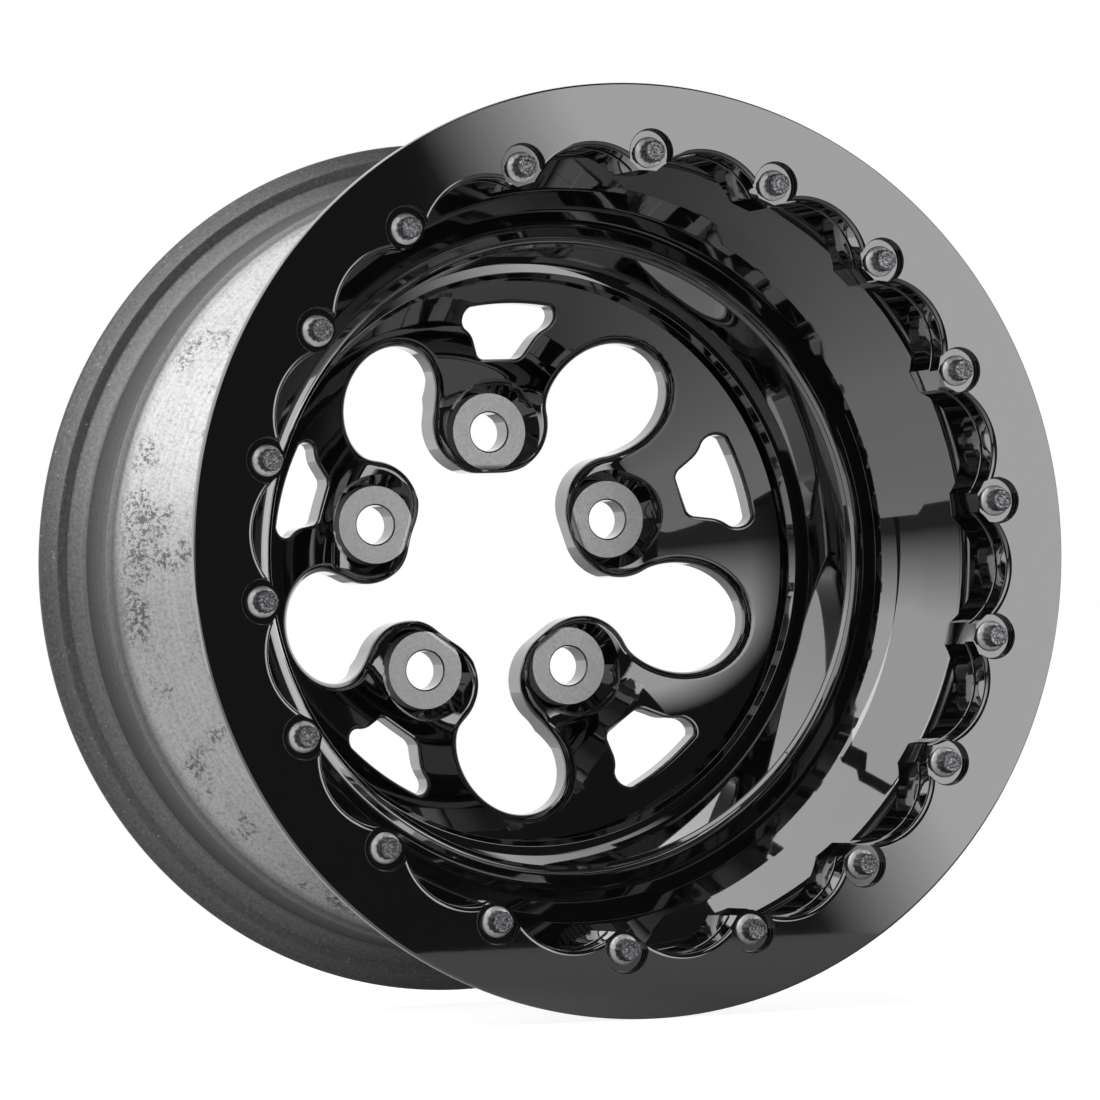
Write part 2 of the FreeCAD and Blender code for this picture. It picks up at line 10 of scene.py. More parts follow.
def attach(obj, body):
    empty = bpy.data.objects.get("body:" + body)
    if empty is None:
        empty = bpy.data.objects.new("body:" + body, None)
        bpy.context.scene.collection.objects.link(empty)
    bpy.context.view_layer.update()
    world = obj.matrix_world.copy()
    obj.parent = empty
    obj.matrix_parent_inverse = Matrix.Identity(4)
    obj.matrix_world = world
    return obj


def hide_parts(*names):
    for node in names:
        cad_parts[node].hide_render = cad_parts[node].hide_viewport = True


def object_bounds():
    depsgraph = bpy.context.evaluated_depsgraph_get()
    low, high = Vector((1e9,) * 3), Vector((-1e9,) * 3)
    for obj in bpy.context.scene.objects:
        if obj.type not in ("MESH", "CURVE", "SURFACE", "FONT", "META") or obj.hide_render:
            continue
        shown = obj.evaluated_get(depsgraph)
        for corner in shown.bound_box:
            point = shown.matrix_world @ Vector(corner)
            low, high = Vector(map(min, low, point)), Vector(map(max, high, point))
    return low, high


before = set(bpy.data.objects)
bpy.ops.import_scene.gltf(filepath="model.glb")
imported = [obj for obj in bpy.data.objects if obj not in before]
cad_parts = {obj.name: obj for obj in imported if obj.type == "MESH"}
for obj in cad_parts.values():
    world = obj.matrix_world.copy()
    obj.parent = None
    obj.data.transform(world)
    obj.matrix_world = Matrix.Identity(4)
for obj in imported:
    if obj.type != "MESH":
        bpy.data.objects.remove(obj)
cad_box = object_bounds()

# Sizes in millimetres. Depth runs back along the axle from the clamp ring's front face.
HUB_DEPTH = 201.0
TURN_STEPS = 240

LUGS = 5
LUG_RADIUS = 63.5
LUG_HOLE = 9.5
LUG_HOLE_BREAK = 0.7
SEAT_RADIUS = 18.75
SEAT_DEPTH = 187.0
MOUTH_RADIUS = 24.2
PAD_DEPTH = 181.5
PAD_RADIUS = 82.0
BOWL_EDGE = (134.3, 146.8)
BOWL_BEND = 400.0
BOWL_BLEND = 1.3
TIP_FLAT = 43.5
TIP_ROUND = 24.0
LOBE_RADIUS = 26.9
LOBE_CIRCLE = 95.5
LOBE_EDGE_ROUND = 4.3
WINDOW_EDGE_ROUND = 1.8
BACK_EDGE_ROUND = 1.0
HUB_PAD_RADIUS = 86.0
BACK_BEND = (95.0, 188.0)
RIM_INSIDE = 137.0
RIM_OUTSIDE = 142.0
RIM_JOIN_DEPTH = 155.3
BOWL_BAND = 131.5
CROWN_BAND = 129.0
BACK_LINE = [(0.0, HUB_DEPTH), (HUB_PAD_RADIUS, HUB_DEPTH), BACK_BEND, (RIM_INSIDE, RIM_JOIN_DEPTH)]

CLAMP_BOLTS = 18
CLAMP_CIRCLE = 184.15
CLAMP_PHASE = math.radians(5.95)
SCALLOP_PHASE = CLAMP_PHASE + math.pi / CLAMP_BOLTS
RING_THICKNESS = 12.7
SCALLOP_RADIUS = 32.3
SCALLOP_CIRCLE = 155.3
SCALLOP_EDGE_ROUND = 2.5
SCALLOP_LEDGE = 0.7
POCKET_RADIUS = 10.5
POCKET_DEPTH = 3.6
POCKET_CHAMFER = 0.5
CLEARANCE_RADIUS = 4.4
INSERT_HOLE_RADIUS = 4.75
INSERT_HOLE_DEPTH = 18.5
MOUNT_BACK = 35.5
TOOL_PAST = 1.0

BOLT_HEAD = 5.2
BOLT_HEAD_HEIGHT = 7.4
BOLT_FLANGE = 7.2
BOLT_FLANGE_HEIGHT = 1.8
BOLT_SHANK = 3.95
BOLT_SHANK_LENGTH = 26.0

VALVE_RADIUS = 5.75
VALVE_DEPTH = 112.0
VALVE_TOOL_REACH = (-160.0, -130.0)
WELL_RADIUS = 147.0
SPLIT_DEPTH = 154.0

# Limits for drawing and matching surfaces.
ROUND_SHARE = 0.9
ARC_STEP = math.radians(7)
SURFACE_GAP = 0.06
SAME_FACING = 0.9


def metres(points):
    """Points in millimetres and ring depths, as places in the shared frame."""
    places = np.array(points, float).reshape(-1, 3)
    places[:, 1] -= HUB_DEPTH
    return places / 1000.0


def piece_from(name, vertices, faces, normals=None):
    """Mesh object at the origin from places in metres, with normals given for each face corner."""
    mesh = bpy.data.meshes.new(name)
    mesh.from_pydata([tuple(v) for v in vertices], [], [tuple(f) for f in faces])
    mesh.shade_smooth()
    if normals is not None:
        mesh.normals_split_custom_set([tuple(n) for n in normals])
    piece = bpy.data.objects.new(name, mesh)
    bpy.context.scene.collection.objects.link(piece)
    return piece


# Turned pieces

def rounded(corners, closed=True):
    """Section line through (radius, depth, round) corners, with a normal wherever a corner is an arc."""
    line = []
    count = len(corners)
    for number, (radius, depth, rounding) in enumerate(corners):
        here = Vector((radius, depth))
        ends = not closed and number in (0, count - 1)
        if rounding == 0 or ends:
            line.append((here, None))
            continue
        before = Vector(corners[number - 1][:2]) - here
        after = Vector(corners[(number + 1) % count][:2]) - here
        opening = before.angle(after)
        longest = ROUND_SHARE * min(before.length, after.length)
        reach = min(rounding / math.tan(opening / 2), longest)
        rounding = reach * math.tan(opening / 2)
        middle = (before.normalized() + after.normalized()).normalized()
        center = here + middle * (rounding / math.sin(opening / 2))
        first = here + before.normalized() * reach - center
        last = here + after.normalized() * reach - center
        sweep = math.atan2(first.x * last.y - first.y * last.x, first.dot(last))
        steps = max(3, math.ceil(abs(sweep) / ARC_STEP))
        for step in range(steps + 1):
            turn = sweep * step / steps
            spoke = Vector((
                first.x * math.cos(turn) - first.y * math.sin(turn),
                first.x * math.sin(turn) + first.y * math.cos(turn),
            ))
            line.append((center + spoke, spoke.normalized()))
    return line


def section_normals(line, closed=True):
    """Normals at both ends of each run of a section, pointing out of the metal."""
    count = len(line)
    runs = count if closed else count - 1
    area = sum(
        line[i][0].x * line[(i + 1) % count][0].y - line[(i + 1) % count][0].x * line[i][0].y
        for i in range(count)
    )
    side = 1.0 if area > 0 else -1.0
    pairs = []
    for i in range(runs):
        along = (line[(i + 1) % count][0] - line[i][0]).normalized()
        out = Vector((along.y, -along.x)) * side
        pair = []
        for _, arc in (line[i], line[(i + 1) % count]):
            if arc is None:
                pair.append(out)
            else:
                pair.append(arc if arc.dot(out) > 0 else -arc)
        pairs.append(pair)
    return pairs


def spun(line, pairs, angles):
    """Points, faces and corner normals of a section turned round the axle."""
    count = len(line)
    runs = len(pairs)
    points = []
    for angle in angles:
        for place, _ in line:
            points.append((place.x * math.cos(angle), place.y, place.x * math.sin(angle)))
    faces = []
    normals = []
    for step in range(len(angles)):
        following = (step + 1) % len(angles)
        for i in range(runs):
            j = (i + 1) % count
            faces.append((step * count + i, step * count + j, following * count + j, following * count + i))
            for end, turn in ((0, step), (1, step), (1, following), (0, following)):
                out = pairs[i][end]
                angle = angles[turn]
                normals.append((out.x * math.cos(angle), out.y, out.x * math.sin(angle)))
    return points, faces, normals


def face_outwards(points, faces, normals):
    """Turns each face round if its corners run against its normals."""
    points = np.array(points)
    turned_faces = []
    turned_normals = []
    start = 0
    for face in faces:
        size = len(face)
        own = normals[start:start + size]
        start += size
        a, b, c = points[face[0]], points[face[1]], points[face[2]]
        if np.dot(np.cross(b - a, c - a), np.sum(own, axis=0)) < 0:
            face = tuple(reversed(face))
            own = list(reversed(own))
        turned_faces.append(face)
        turned_normals.extend(own)
    return turned_faces, turned_normals


def turned_piece(name, corners):
    """Closed piece of revolution from its section's corners."""
    line = rounded(corners)
    pairs = section_normals(line)
    angles = [2 * math.pi * step / TURN_STEPS for step in range(TURN_STEPS)]
    points, faces, normals = spun(line, pairs, angles)
    faces, normals = face_outwards(points, faces, normals)
    return piece_from(name, metres(points), faces, normals), line, pairs


def polish(piece, surfaces):
    """After a cut: gives each face the normals of the turned surface that it lies on.

    A surface is a section line, its normals, and for a cutter the circle and phase of its copies.
    """
    mesh = piece.data
    mesh.shade_smooth()
    places = np.zeros(len(mesh.vertices) * 3)
    mesh.vertices.foreach_get("co", places)
    places = places.reshape(-1, 3) * 1000.0 + (0.0, HUB_DEPTH, 0.0)
    sizes = np.zeros(len(mesh.polygons), int)
    mesh.polygons.foreach_get("loop_total", sizes)
    facing = np.zeros(len(mesh.polygons) * 3)
    mesh.polygons.foreach_get("normal", facing)
    corners = np.zeros(len(mesh.loops), int)
    mesh.loops.foreach_get("vertex_index", corners)
    owner = np.repeat(np.arange(len(sizes)), sizes)
    spots = places[corners]
    facing = facing.reshape(-1, 3)[owner]
    normals = facing.copy()
    closest = np.full(len(sizes), SURFACE_GAP)

    def face_mean(values):
        total = np.zeros((len(sizes),) + values.shape[1:])
        np.add.at(total, owner, values)
        return (total.T / sizes).T

    for line, pairs, circle, phase in surfaces:
        axes = np.zeros((len(sizes), 2))
        side = 1.0
        if circle:
            middles = face_mean(spots)
            step = 2 * math.pi / CLAMP_BOLTS
            turn = np.round((np.arctan2(middles[:, 2], middles[:, 0]) - phase) / step) * step + phase
            axes = circle * np.stack((np.cos(turn), np.sin(turn)), 1)
            side = -1.0
        spokes = spots[:, [0, 2]] - axes[owner]
        reach = np.maximum(np.linalg.norm(spokes, axis=1), 1e-9)
        flat = np.stack((reach, spots[:, 1]), 1)
        middles = face_mean(flat)
        starts = np.array([tuple(place) for place, _ in line])
        runs = np.roll(starts, -1, axis=0) - starts
        lengths = np.maximum((runs ** 2).sum(1), 1e-12)
        along = np.clip(((middles[:, None] - starts) * runs).sum(2) / lengths, 0, 1)
        gaps = np.linalg.norm(middles[:, None] - starts - along[..., None] * runs, axis=2)
        nearest = gaps.argmin(1)
        gap = gaps.min(1)
        run = nearest[owner]
        share = np.clip(((flat - starts[run]) * runs[run]).sum(1) / lengths[run], 0, 1)[:, None]
        ends = np.array([[tuple(first), tuple(last)] for first, last in pairs]) * side
        tilt = ends[run, 0] * (1 - share) + ends[run, 1] * share
        spokes /= reach[:, None]
        out = np.stack((tilt[:, 0] * spokes[:, 0], tilt[:, 1], tilt[:, 0] * spokes[:, 1]), 1)
        out /= np.linalg.norm(out, axis=1)[:, None]
        chosen = (gap < closest) & (face_mean((out * facing).sum(1)) > SAME_FACING)
        closest[chosen] = gap[chosen]
        normals[chosen[owner]] = out[chosen[owner]]
    mesh.normals_split_custom_set([tuple(n) for n in normals])


# Node trees

def link_nodes(tree, *pairs):
    """Links each source socket to its target socket."""
    for source, target in pairs:
        tree.links.new(source, target)


def tree_with(name, inputs):
    """Empty geometry tree with a mesh going in and out, and named inputs."""
    tree = bpy.data.node_groups.new(name, "GeometryNodeTree")
    tree.interface.new_socket("Geometry", in_out="INPUT", socket_type="NodeSocketGeometry")
    for label, kind in inputs:
        tree.interface.new_socket(label, in_out="INPUT", socket_type=kind)
    tree.interface.new_socket("Geometry", in_out="OUTPUT", socket_type="NodeSocketGeometry")
    return tree, tree.nodes.new("NodeGroupInput"), tree.nodes.new("NodeGroupOutput")


def math_node(tree, operation, first, second):
    """Result of a sum on two numbers or sockets."""
    node = tree.nodes.new("ShaderNodeMath")
    node.operation = operation
    for socket, value in zip(node.inputs, (first, second)):
        if hasattr(value, "is_linked"):
            tree.links.new(value, socket)
        else:
            socket.default_value = value
    return node.outputs[0]


def ring_of_copies(tree, template, count, circle, phase):
    """Copies of a template object set round the axle, each turned to face its own angle."""
    points = tree.nodes.new("GeometryNodePoints")
    index = tree.nodes.new("GeometryNodeInputIndex").outputs[0]
    step = math_node(tree, "DIVIDE", 2 * math.pi, count)
    angle = math_node(tree, "ADD", math_node(tree, "MULTIPLY", index, step), phase)
    place = tree.nodes.new("ShaderNodeCombineXYZ")
    link_nodes(
        tree,
        (count, points.inputs["Count"]),
        (math_node(tree, "MULTIPLY", math_node(tree, "COSINE", angle, 0.0), circle), place.inputs[0]),
        (math_node(tree, "MULTIPLY", math_node(tree, "SINE", angle, 0.0), circle), place.inputs[2]),
        (place.outputs[0], points.inputs["Position"]),
    )
    turn = tree.nodes.new("ShaderNodeCombineXYZ")
    tree.links.new(math_node(tree, "MULTIPLY", angle, -1.0), turn.inputs[1])
    source = tree.nodes.new("GeometryNodeObjectInfo")
    source.transform_space = "ORIGINAL"
    tree.links.new(template, source.inputs["Object"])
    copies = tree.nodes.new("GeometryNodeInstanceOnPoints")
    link_nodes(
        tree,
        (points.outputs[0], copies.inputs["Points"]),
        (source.outputs["Geometry"], copies.inputs["Instance"]),
        (turn.outputs[0], copies.inputs["Rotation"]),
    )
    return copies.outputs[0]


def finish_tree(tree, geometry, material, group_output):
    """Realises what is left of instances, sets the material and ends the tree."""
    real = tree.nodes.new("GeometryNodeRealizeInstances")
    paint = tree.nodes.new("GeometryNodeSetMaterial")
    link_nodes(
        tree,
        (geometry, real.inputs[0]),
        (real.outputs[0], paint.inputs["Geometry"]),
        (material, paint.inputs["Material"]),
        (paint.outputs[0], group_output.inputs[0]),
    )


def cut_ring_tree(name, cutters):
    """Takes a ring of each cutter out of a turned piece."""
    inputs = [("Material", "NodeSocketMaterial"), ("Count", "NodeSocketInt")]
    for label in cutters:
        inputs.append((label, "NodeSocketObject"))
        inputs.append((label + " Circle", "NodeSocketFloat"))
        inputs.append((label + " Phase", "NodeSocketFloat"))
    tree, given, result = tree_with(name, inputs)
    cut = tree.nodes.new("GeometryNodeMeshBoolean")
    cut.operation = "DIFFERENCE"
    cut.solver = "MANIFOLD"
    tree.links.new(given.outputs["Geometry"], cut.inputs["Mesh 1"])
    for label in cutters:
        copies = ring_of_copies(
            tree, given.outputs[label], given.outputs["Count"],
            given.outputs[label + " Circle"], given.outputs[label + " Phase"],
        )
        tree.links.new(copies, cut.inputs["Mesh 2"])
    finish_tree(tree, cut.outputs["Mesh"], given.outputs["Material"], result)
    return tree


def ring_tree(name):
    """Sets copies of one fastener round the axle."""
    inputs = [
        ("Material", "NodeSocketMaterial"),
        ("Count", "NodeSocketInt"),
        ("Fastener", "NodeSocketObject"),
        ("Circle", "NodeSocketFloat"),
        ("Phase", "NodeSocketFloat"),
    ]
    tree, given, result = tree_with(name, inputs)
    copies = ring_of_copies(
        tree, given.outputs["Fastener"], given.outputs["Count"],
        given.outputs["Circle"], given.outputs["Phase"],
    )
    finish_tree(tree, copies, given.outputs["Material"], result)
    return tree


def keep_result(piece, modifier):
    """Makes what a modifier shows the piece's own plain mesh, and takes the modifier off."""
    piece.update_tag()
    bpy.context.view_layer.update()
    graph = bpy.context.evaluated_depsgraph_get()
    made = bpy.data.meshes.new_from_object(piece.evaluated_get(graph), depsgraph=graph)
    piece.modifiers.remove(modifier)
    old = piece.data
    piece.data = made
    bpy.data.meshes.remove(old)
    made.name = piece.name


def apply_tree(piece, tree, values):
    """Runs a tree on a piece, with its named inputs set, and keeps the result."""
    modifier = piece.modifiers.new(tree.name, "NODES")
    modifier.node_group = tree
    for item in tree.interface.items_tree:
        if item.in_out == "INPUT" and item.name in values:
            modifier[item.identifier] = values[item.name]
    keep_result(piece, modifier)


def cutter(name, corners, steps):
    """Closed tool turned round a line along the axle; its section starts and ends on that line."""
    line = rounded(corners)
    points = []
    faces = []
    rows = []
    for place, _ in line:
        radius, depth = place
        if radius == 0:
            rows.append([len(points)])
            points.append((0.0, depth, 0.0))
            continue
        rows.append(list(range(len(points), len(points) + steps)))
        for step in range(steps):
            angle = 2 * math.pi * (step + 0.5) / steps
            points.append((radius * math.cos(angle), depth, radius * math.sin(angle)))
    for first, last in zip(rows, rows[1:]):
        for step in range(steps):
            following = (step + 1) % steps
            around = [first[step % len(first)], first[following % len(first)],
                      last[following % len(last)], last[step % len(last)]]
            faces.append(tuple(dict.fromkeys(around)))
    tool = piece_from(name, metres(points), faces)
    turn_outwards(tool.data)
    return tool, line, section_normals(line)


def turn_outwards(mesh):
    """Turns all faces of a closed mesh outwards."""
    shape = bmesh.new()
    shape.from_mesh(mesh)
    bmesh.ops.recalc_face_normals(shape, faces=shape.faces)
    shape.to_mesh(mesh)
    shape.free()


def discard(*pieces):
    """Removes tools and templates, so that only finished pieces are left."""
    for piece in pieces:
        mesh = piece.data
        bpy.data.objects.remove(piece)
        bpy.data.meshes.remove(mesh)


# Finishes

def set_inputs(node, values):
    """Sets a node's own numbers and colours by name."""
    for name, value in values.items():
        node.inputs[name].default_value = value


def finish_with(name, values):
    """New material with its tree, its shader with its own numbers set, and object coordinates."""
    material = bpy.data.materials.new(name)
    material.use_nodes = True
    tree = material.node_tree
    shader = tree.nodes["Principled BSDF"]
    set_inputs(shader, values)
    place = tree.nodes.new("ShaderNodeTexCoord").outputs["Object"]
    return material, tree, shader, place


def parts(tree, vector):
    """X, Y and Z of a vector."""
    node = tree.nodes.new("ShaderNodeSeparateXYZ")
    tree.links.new(vector, node.inputs[0])
    return tuple(node.outputs)


def mapped(tree, value, low, high, at_low=0.0, at_high=1.0):
    """Number that runs from at_low to at_high while a value runs from low to high."""
    node = tree.nodes.new("ShaderNodeMapRange")
    set_inputs(node, {"From Min": low, "From Max": high, "To Min": at_low, "To Max": at_high})
    tree.links.new(value, node.inputs["Value"])
    return node.outputs[0]


def noise(tree, vector, scale, detail=4.0, roughness=0.55):
    """Cloudy noise of a given scale per metre."""
    node = tree.nodes.new("ShaderNodeTexNoise")
    set_inputs(node, {"Scale": scale, "Detail": detail, "Roughness": roughness})
    tree.links.new(vector, node.inputs["Vector"])
    return node.outputs["Fac"]


def ramp(tree, value, stops):
    """Colour ramp through (position, grey or colour) stops."""
    node = tree.nodes.new("ShaderNodeValToRGB")
    row = node.color_ramp.elements
    while len(row) < len(stops):
        row.new(0.5)
    for element, (position, colour) in zip(row, stops):
        element.position = position
        if isinstance(colour, float):
            colour = (colour, colour, colour)
        element.color = (*colour, 1.0)
    tree.links.new(value, node.inputs[0])
    return node.outputs["Color"]


def mixed(tree, share, first, second, kind="MIX"):
    """Mix of two colours, each a socket or a written colour."""
    node = tree.nodes.new("ShaderNodeMix")
    node.data_type = "RGBA"
    node.blend_type = kind
    for socket, value in ((node.inputs[0], share), (node.inputs[6], first), (node.inputs[7], second)):
        if hasattr(value, "is_linked"):
            tree.links.new(value, socket)
        elif isinstance(value, float):
            socket.default_value = value
        else:
            socket.default_value = (*value, 1.0)
    return node.outputs[2]


def both(tree, first, second):
    """Product of two greys or colours."""
    return mixed(tree, 1.0, first, second, "MULTIPLY")


def bumped(tree, shader, height, strength, distance):
    """Fine relief on a shader's normal."""
    node = tree.nodes.new("ShaderNodeBump")
    set_inputs(node, {"Strength": strength, "Distance": distance})
    link_nodes(tree, (height, node.inputs["Height"]), (node.outputs[0], shader.inputs["Normal"]))


def black_coat():
    """Gloss black coat: faint orange peel, dust specks and slightly uneven gloss."""
    material, tree, shader, place = finish_with("black_gloss_coat", {
        "Coat Weight": 1.0,
        "Coat Roughness": 0.015,
        "Coat IOR": 1.9,
        "Specular IOR Level": 0.9,
    })
    paint = (0.0045, 0.0045, 0.005)
    dust = (0.012, 0.012, 0.0125)
    haze = ramp(tree, noise(tree, place, 14.0), [(0.35, 0.02), (0.75, 0.06)])
    specks = ramp(tree, noise(tree, place, 2600.0, 1.0), [(0.77, 0.0), (0.81, 1.0)])
    peel = noise(tree, place, 420.0, 2.0)
    link_nodes(
        tree,
        (mixed(tree, specks, paint, dust), shader.inputs["Base Color"]),
        (haze, shader.inputs["Roughness"]),
    )
    bumped(tree, shader, peel, 0.006, 0.0004)
    return material


def seat_satin():
    """Satin grey lug seats with a fine worn grain."""
    material, tree, shader, place = finish_with("lug_seat_satin", {"Metallic": 1.0})
    grain = noise(tree, place, 900.0, 3.0, 0.7)
    tone = ramp(tree, grain, [(0.35, (0.40, 0.40, 0.405)), (0.65, (0.48, 0.48, 0.485))])
    dull = ramp(tree, grain, [(0.3, 0.42), (0.7, 0.34)])
    link_nodes(tree, (tone, shader.inputs["Base Color"]), (dull, shader.inputs["Roughness"]))
    bumped(tree, shader, grain, 0.08, 0.0003)
    return material


def turning_lines(tree, place, scale):
    """Fine rings round the axle, as a lathe or spinning tool leaves."""
    x, y, z = parts(tree, place)
    across = math_node(tree, "MULTIPLY", x, x)
    upright = math_node(tree, "MULTIPLY", z, z)
    radius = math_node(tree, "POWER", math_node(tree, "ADD", across, upright), 0.5)
    joined = tree.nodes.new("ShaderNodeCombineXYZ")
    link_nodes(tree, (radius, joined.inputs[0]), (y, joined.inputs[1]))
    return noise(tree, joined.outputs[0], scale, 3.0)


def bare_aluminium():
    """Bare spun aluminium: pale cone with clustered stains, smooth grey bead seat, dark flange with painted
    glints.
    """
    material, tree, shader, place = finish_with("bare_spun_aluminium", {"Metallic": 1.0})
    stain = (0.17, 0.17, 0.173)
    # grey of the painted highlights: bright specks that stand in for light glinting on the flange
    painted_glint_grey = (0.6, 0.6, 0.6)
    barrel_start, barrel_end = -0.030, 0.060
    along = mapped(tree, parts(tree, place)[1], barrel_start, barrel_end)
    zones = ramp(tree, along, [
        (0.38, 0.60), (0.43, 0.19), (0.48, 0.26), (0.76, 0.24), (0.82, 0.19), (0.95, 0.12),
    ])
    cone = ramp(tree, along, [(0.36, 1.0), (0.42, 0.0)])
    flange = ramp(tree, along, [(0.77, 0.0), (0.82, 1.0)])
    lines = ramp(tree, turning_lines(tree, place, 700.0), [(0.3, 0.82), (0.7, 1.0)])
    grain = noise(tree, place, 620.0, 3.0, 0.8)
    fine = ramp(tree, grain, [(0.30, 0.55), (0.55, 1.0)])
    patches = ramp(tree, noise(tree, place, 21.0, 6.0, 0.72), [(0.50, 0.0), (0.56, 1.0)])
    crumbs = ramp(tree, noise(tree, place, 480.0, 3.0, 0.7), [(0.46, 1.0), (0.52, 0.0)])
    stains = both(tree, both(tree, patches, crumbs), cone)
    # painted glints: bright specks on the rear flange, painted in place of light caught by the metal
    painted_glint_mask = both(tree, ramp(tree, grain, [(0.66, 0.0), (0.72, 1.0)]), flange)
    colour = mixed(tree, 0.8, both(tree, zones, lines), fine, "MULTIPLY")
    colour = mixed(tree, stains, colour, stain)
    colour = mixed(tree, painted_glint_mask, colour, painted_glint_grey)
    dull = ramp(tree, along, [(0.38, 0.42), (0.46, 0.34), (0.80, 0.46)])
    link_nodes(tree, (colour, shader.inputs["Base Color"]), (dull, shader.inputs["Roughness"]))
    bumped(tree, shader, grain, 0.3, 0.0005)
    return material


def bolt_plating():
    """Plated steel: bright pressed flange, dull grainy head with dark spots."""
    material, tree, shader, place = finish_with("bolt_plating", {"Metallic": 1.0})
    flange_front = POCKET_DEPTH - BOLT_FLANGE_HEIGHT - HUB_DEPTH
    blend = 0.5
    flange = mapped(tree, parts(tree, place)[1], (flange_front - blend) / 1000, flange_front / 1000)
    grain = noise(tree, place, 1100.0, 4.0, 0.75)
    head = ramp(tree, grain, [
        (0.38, (0.03, 0.03, 0.033)), (0.52, (0.16, 0.16, 0.17)), (0.68, (0.5, 0.5, 0.52)),
    ])
    bright = ramp(tree, grain, [(0.3, (0.62, 0.62, 0.63)), (0.7, (0.82, 0.82, 0.83))])
    head_dull = ramp(tree, grain, [(0.3, 0.5), (0.7, 0.32)])
    flange_dull = (0.4, 0.4, 0.4)
    link_nodes(
        tree,
        (mixed(tree, flange, head, bright), shader.inputs["Base Color"]),
        (mixed(tree, flange, head_dull, flange_dull), shader.inputs["Roughness"]),
    )
    bumped(tree, shader, grain, 0.5, 0.0004)
    return material


# Pieces

black = black_coat()
seat_grey = seat_satin()
aluminium = bare_aluminium()
plating = bolt_plating()


def painted(piece, material):
    """Gives a piece one material in place of those it had."""
    piece.data.materials.clear()
    piece.data.materials.append(material)
    return piece


def cut_ring(ring, line, pairs, tree_name, tools):
    """Cuts a ring of each tool, a label, section, steps, circle and phase, out of a turned piece."""
    values = {"Material": black, "Count": CLAMP_BOLTS}
    surfaces = [(line, pairs, 0.0, 0.0)]
    cutters = []
    for label, corners, steps, circle, phase in tools:
        tool, tool_line, tool_pairs = cutter(label + "_tool", corners, steps)
        values.update({label: tool, label + " Circle": circle / 1000, label + " Phase": phase})
        surfaces.append((tool_line, tool_pairs, circle, phase))
        cutters.append(tool)
    apply_tree(ring, cut_ring_tree(tree_name, [tool[0] for tool in tools]), values)
    discard(*cutters)
    painted(ring, black)
    polish(ring, surfaces)
    return ring


def make_clamp_ring():
    """Flat ring over the tyre bead, scalloped inside, with a pocket and a hole for each bolt."""
    ring, line, pairs = turned_piece("scalloped_clamp_ring", [
        (176.0, 0.0, 0.0),
        (215.9, 0.0, 1.1),
        (215.9, 4.0, 0.9),
        (196.0, RING_THICKNESS, 0.0),
        (176.0, RING_THICKNESS, 0.0),
    ])
    behind = RING_THICKNESS + TOOL_PAST
    scallop = [
        (0.0, -TOOL_PAST, 0.0),
        (SCALLOP_RADIUS + 9.3, -TOOL_PAST, 0.0),
        (SCALLOP_RADIUS, 0.3, SCALLOP_EDGE_ROUND),
        (SCALLOP_RADIUS, behind, 0.0),
        (0.0, behind, 0.0),
    ]
    pocket = [
        (0.0, -TOOL_PAST, 0.0),
        (POCKET_RADIUS + POCKET_CHAMFER + TOOL_PAST, -TOOL_PAST, 0.0),
        (POCKET_RADIUS, POCKET_CHAMFER, 0.3),
        (POCKET_RADIUS, POCKET_DEPTH, 0.4),
        (CLEARANCE_RADIUS, POCKET_DEPTH, 0.0),
        (CLEARANCE_RADIUS, behind, 0.0),
        (0.0, behind, 0.0),
    ]
    return cut_ring(ring, line, pairs, "scallops_and_pockets", [
        ("Scallop", scallop, 160, SCALLOP_CIRCLE, SCALLOP_PHASE),
        ("Pocket", pocket, 72, CLAMP_CIRCLE, CLAMP_PHASE),
    ])


def make_mount_ring():
    """Ring behind the clamp ring, with the tyre's seat and flange, and a hole for each thread insert."""
    ring, line, pairs = turned_piece("tyre_bead_mount_ring", [
        (176.0, RING_THICKNESS, 0.0),
        (190.5, RING_THICKNESS, 0.5),
        (190.5, 28.2, 1.5),
        (203.0, 30.0, 1.2),
        (203.0, MOUNT_BACK, 1.2),
        (176.0, MOUNT_BACK, 0.0),
    ])
    before = RING_THICKNESS - TOOL_PAST
    behind = MOUNT_BACK + TOOL_PAST
    bottom = RING_THICKNESS + INSERT_HOLE_DEPTH
    ledge = SCALLOP_RADIUS - SCALLOP_LEDGE
    scallop = [
        (0.0, before, 0.0),
        (ledge + 1.3, before, 0.0),
        (ledge, RING_THICKNESS + 0.3, 0.3),
        (ledge, behind, 0.0),
        (0.0, behind, 0.0),
    ]
    hole = [
        (0.0, before, 0.0),
        (INSERT_HOLE_RADIUS, before, 0.0),
        (INSERT_HOLE_RADIUS, bottom, 0.0),
        (0.0, bottom, 0.0),
    ]
    return cut_ring(ring, line, pairs, "mount_scallops_and_holes", [
        ("Scallop", scallop, 160, SCALLOP_CIRCLE, SCALLOP_PHASE),
        ("Hole", hole, 32, CLAMP_CIRCLE, CLAMP_PHASE),
    ])


def valve_drill():
    """Round tool across the axle for the valve hole."""
    steps = 48
    points = []
    for reach in VALVE_TOOL_REACH:
        for step in range(steps):
            angle = 2 * math.pi * step / steps
            depth = VALVE_DEPTH + VALVE_RADIUS * math.cos(angle)
            points.append((reach, depth, VALVE_RADIUS * math.sin(angle)))
    faces = [tuple(range(steps)), tuple(range(2 * steps - 1, steps - 1, -1))]
    for step in range(steps):
        following = (step + 1) % steps
        faces.append((step, step + steps, following + steps, following))
    drill = piece_from("valve_hole_tool", metres(points), faces)
    turn_outwards(drill.data)
    return drill


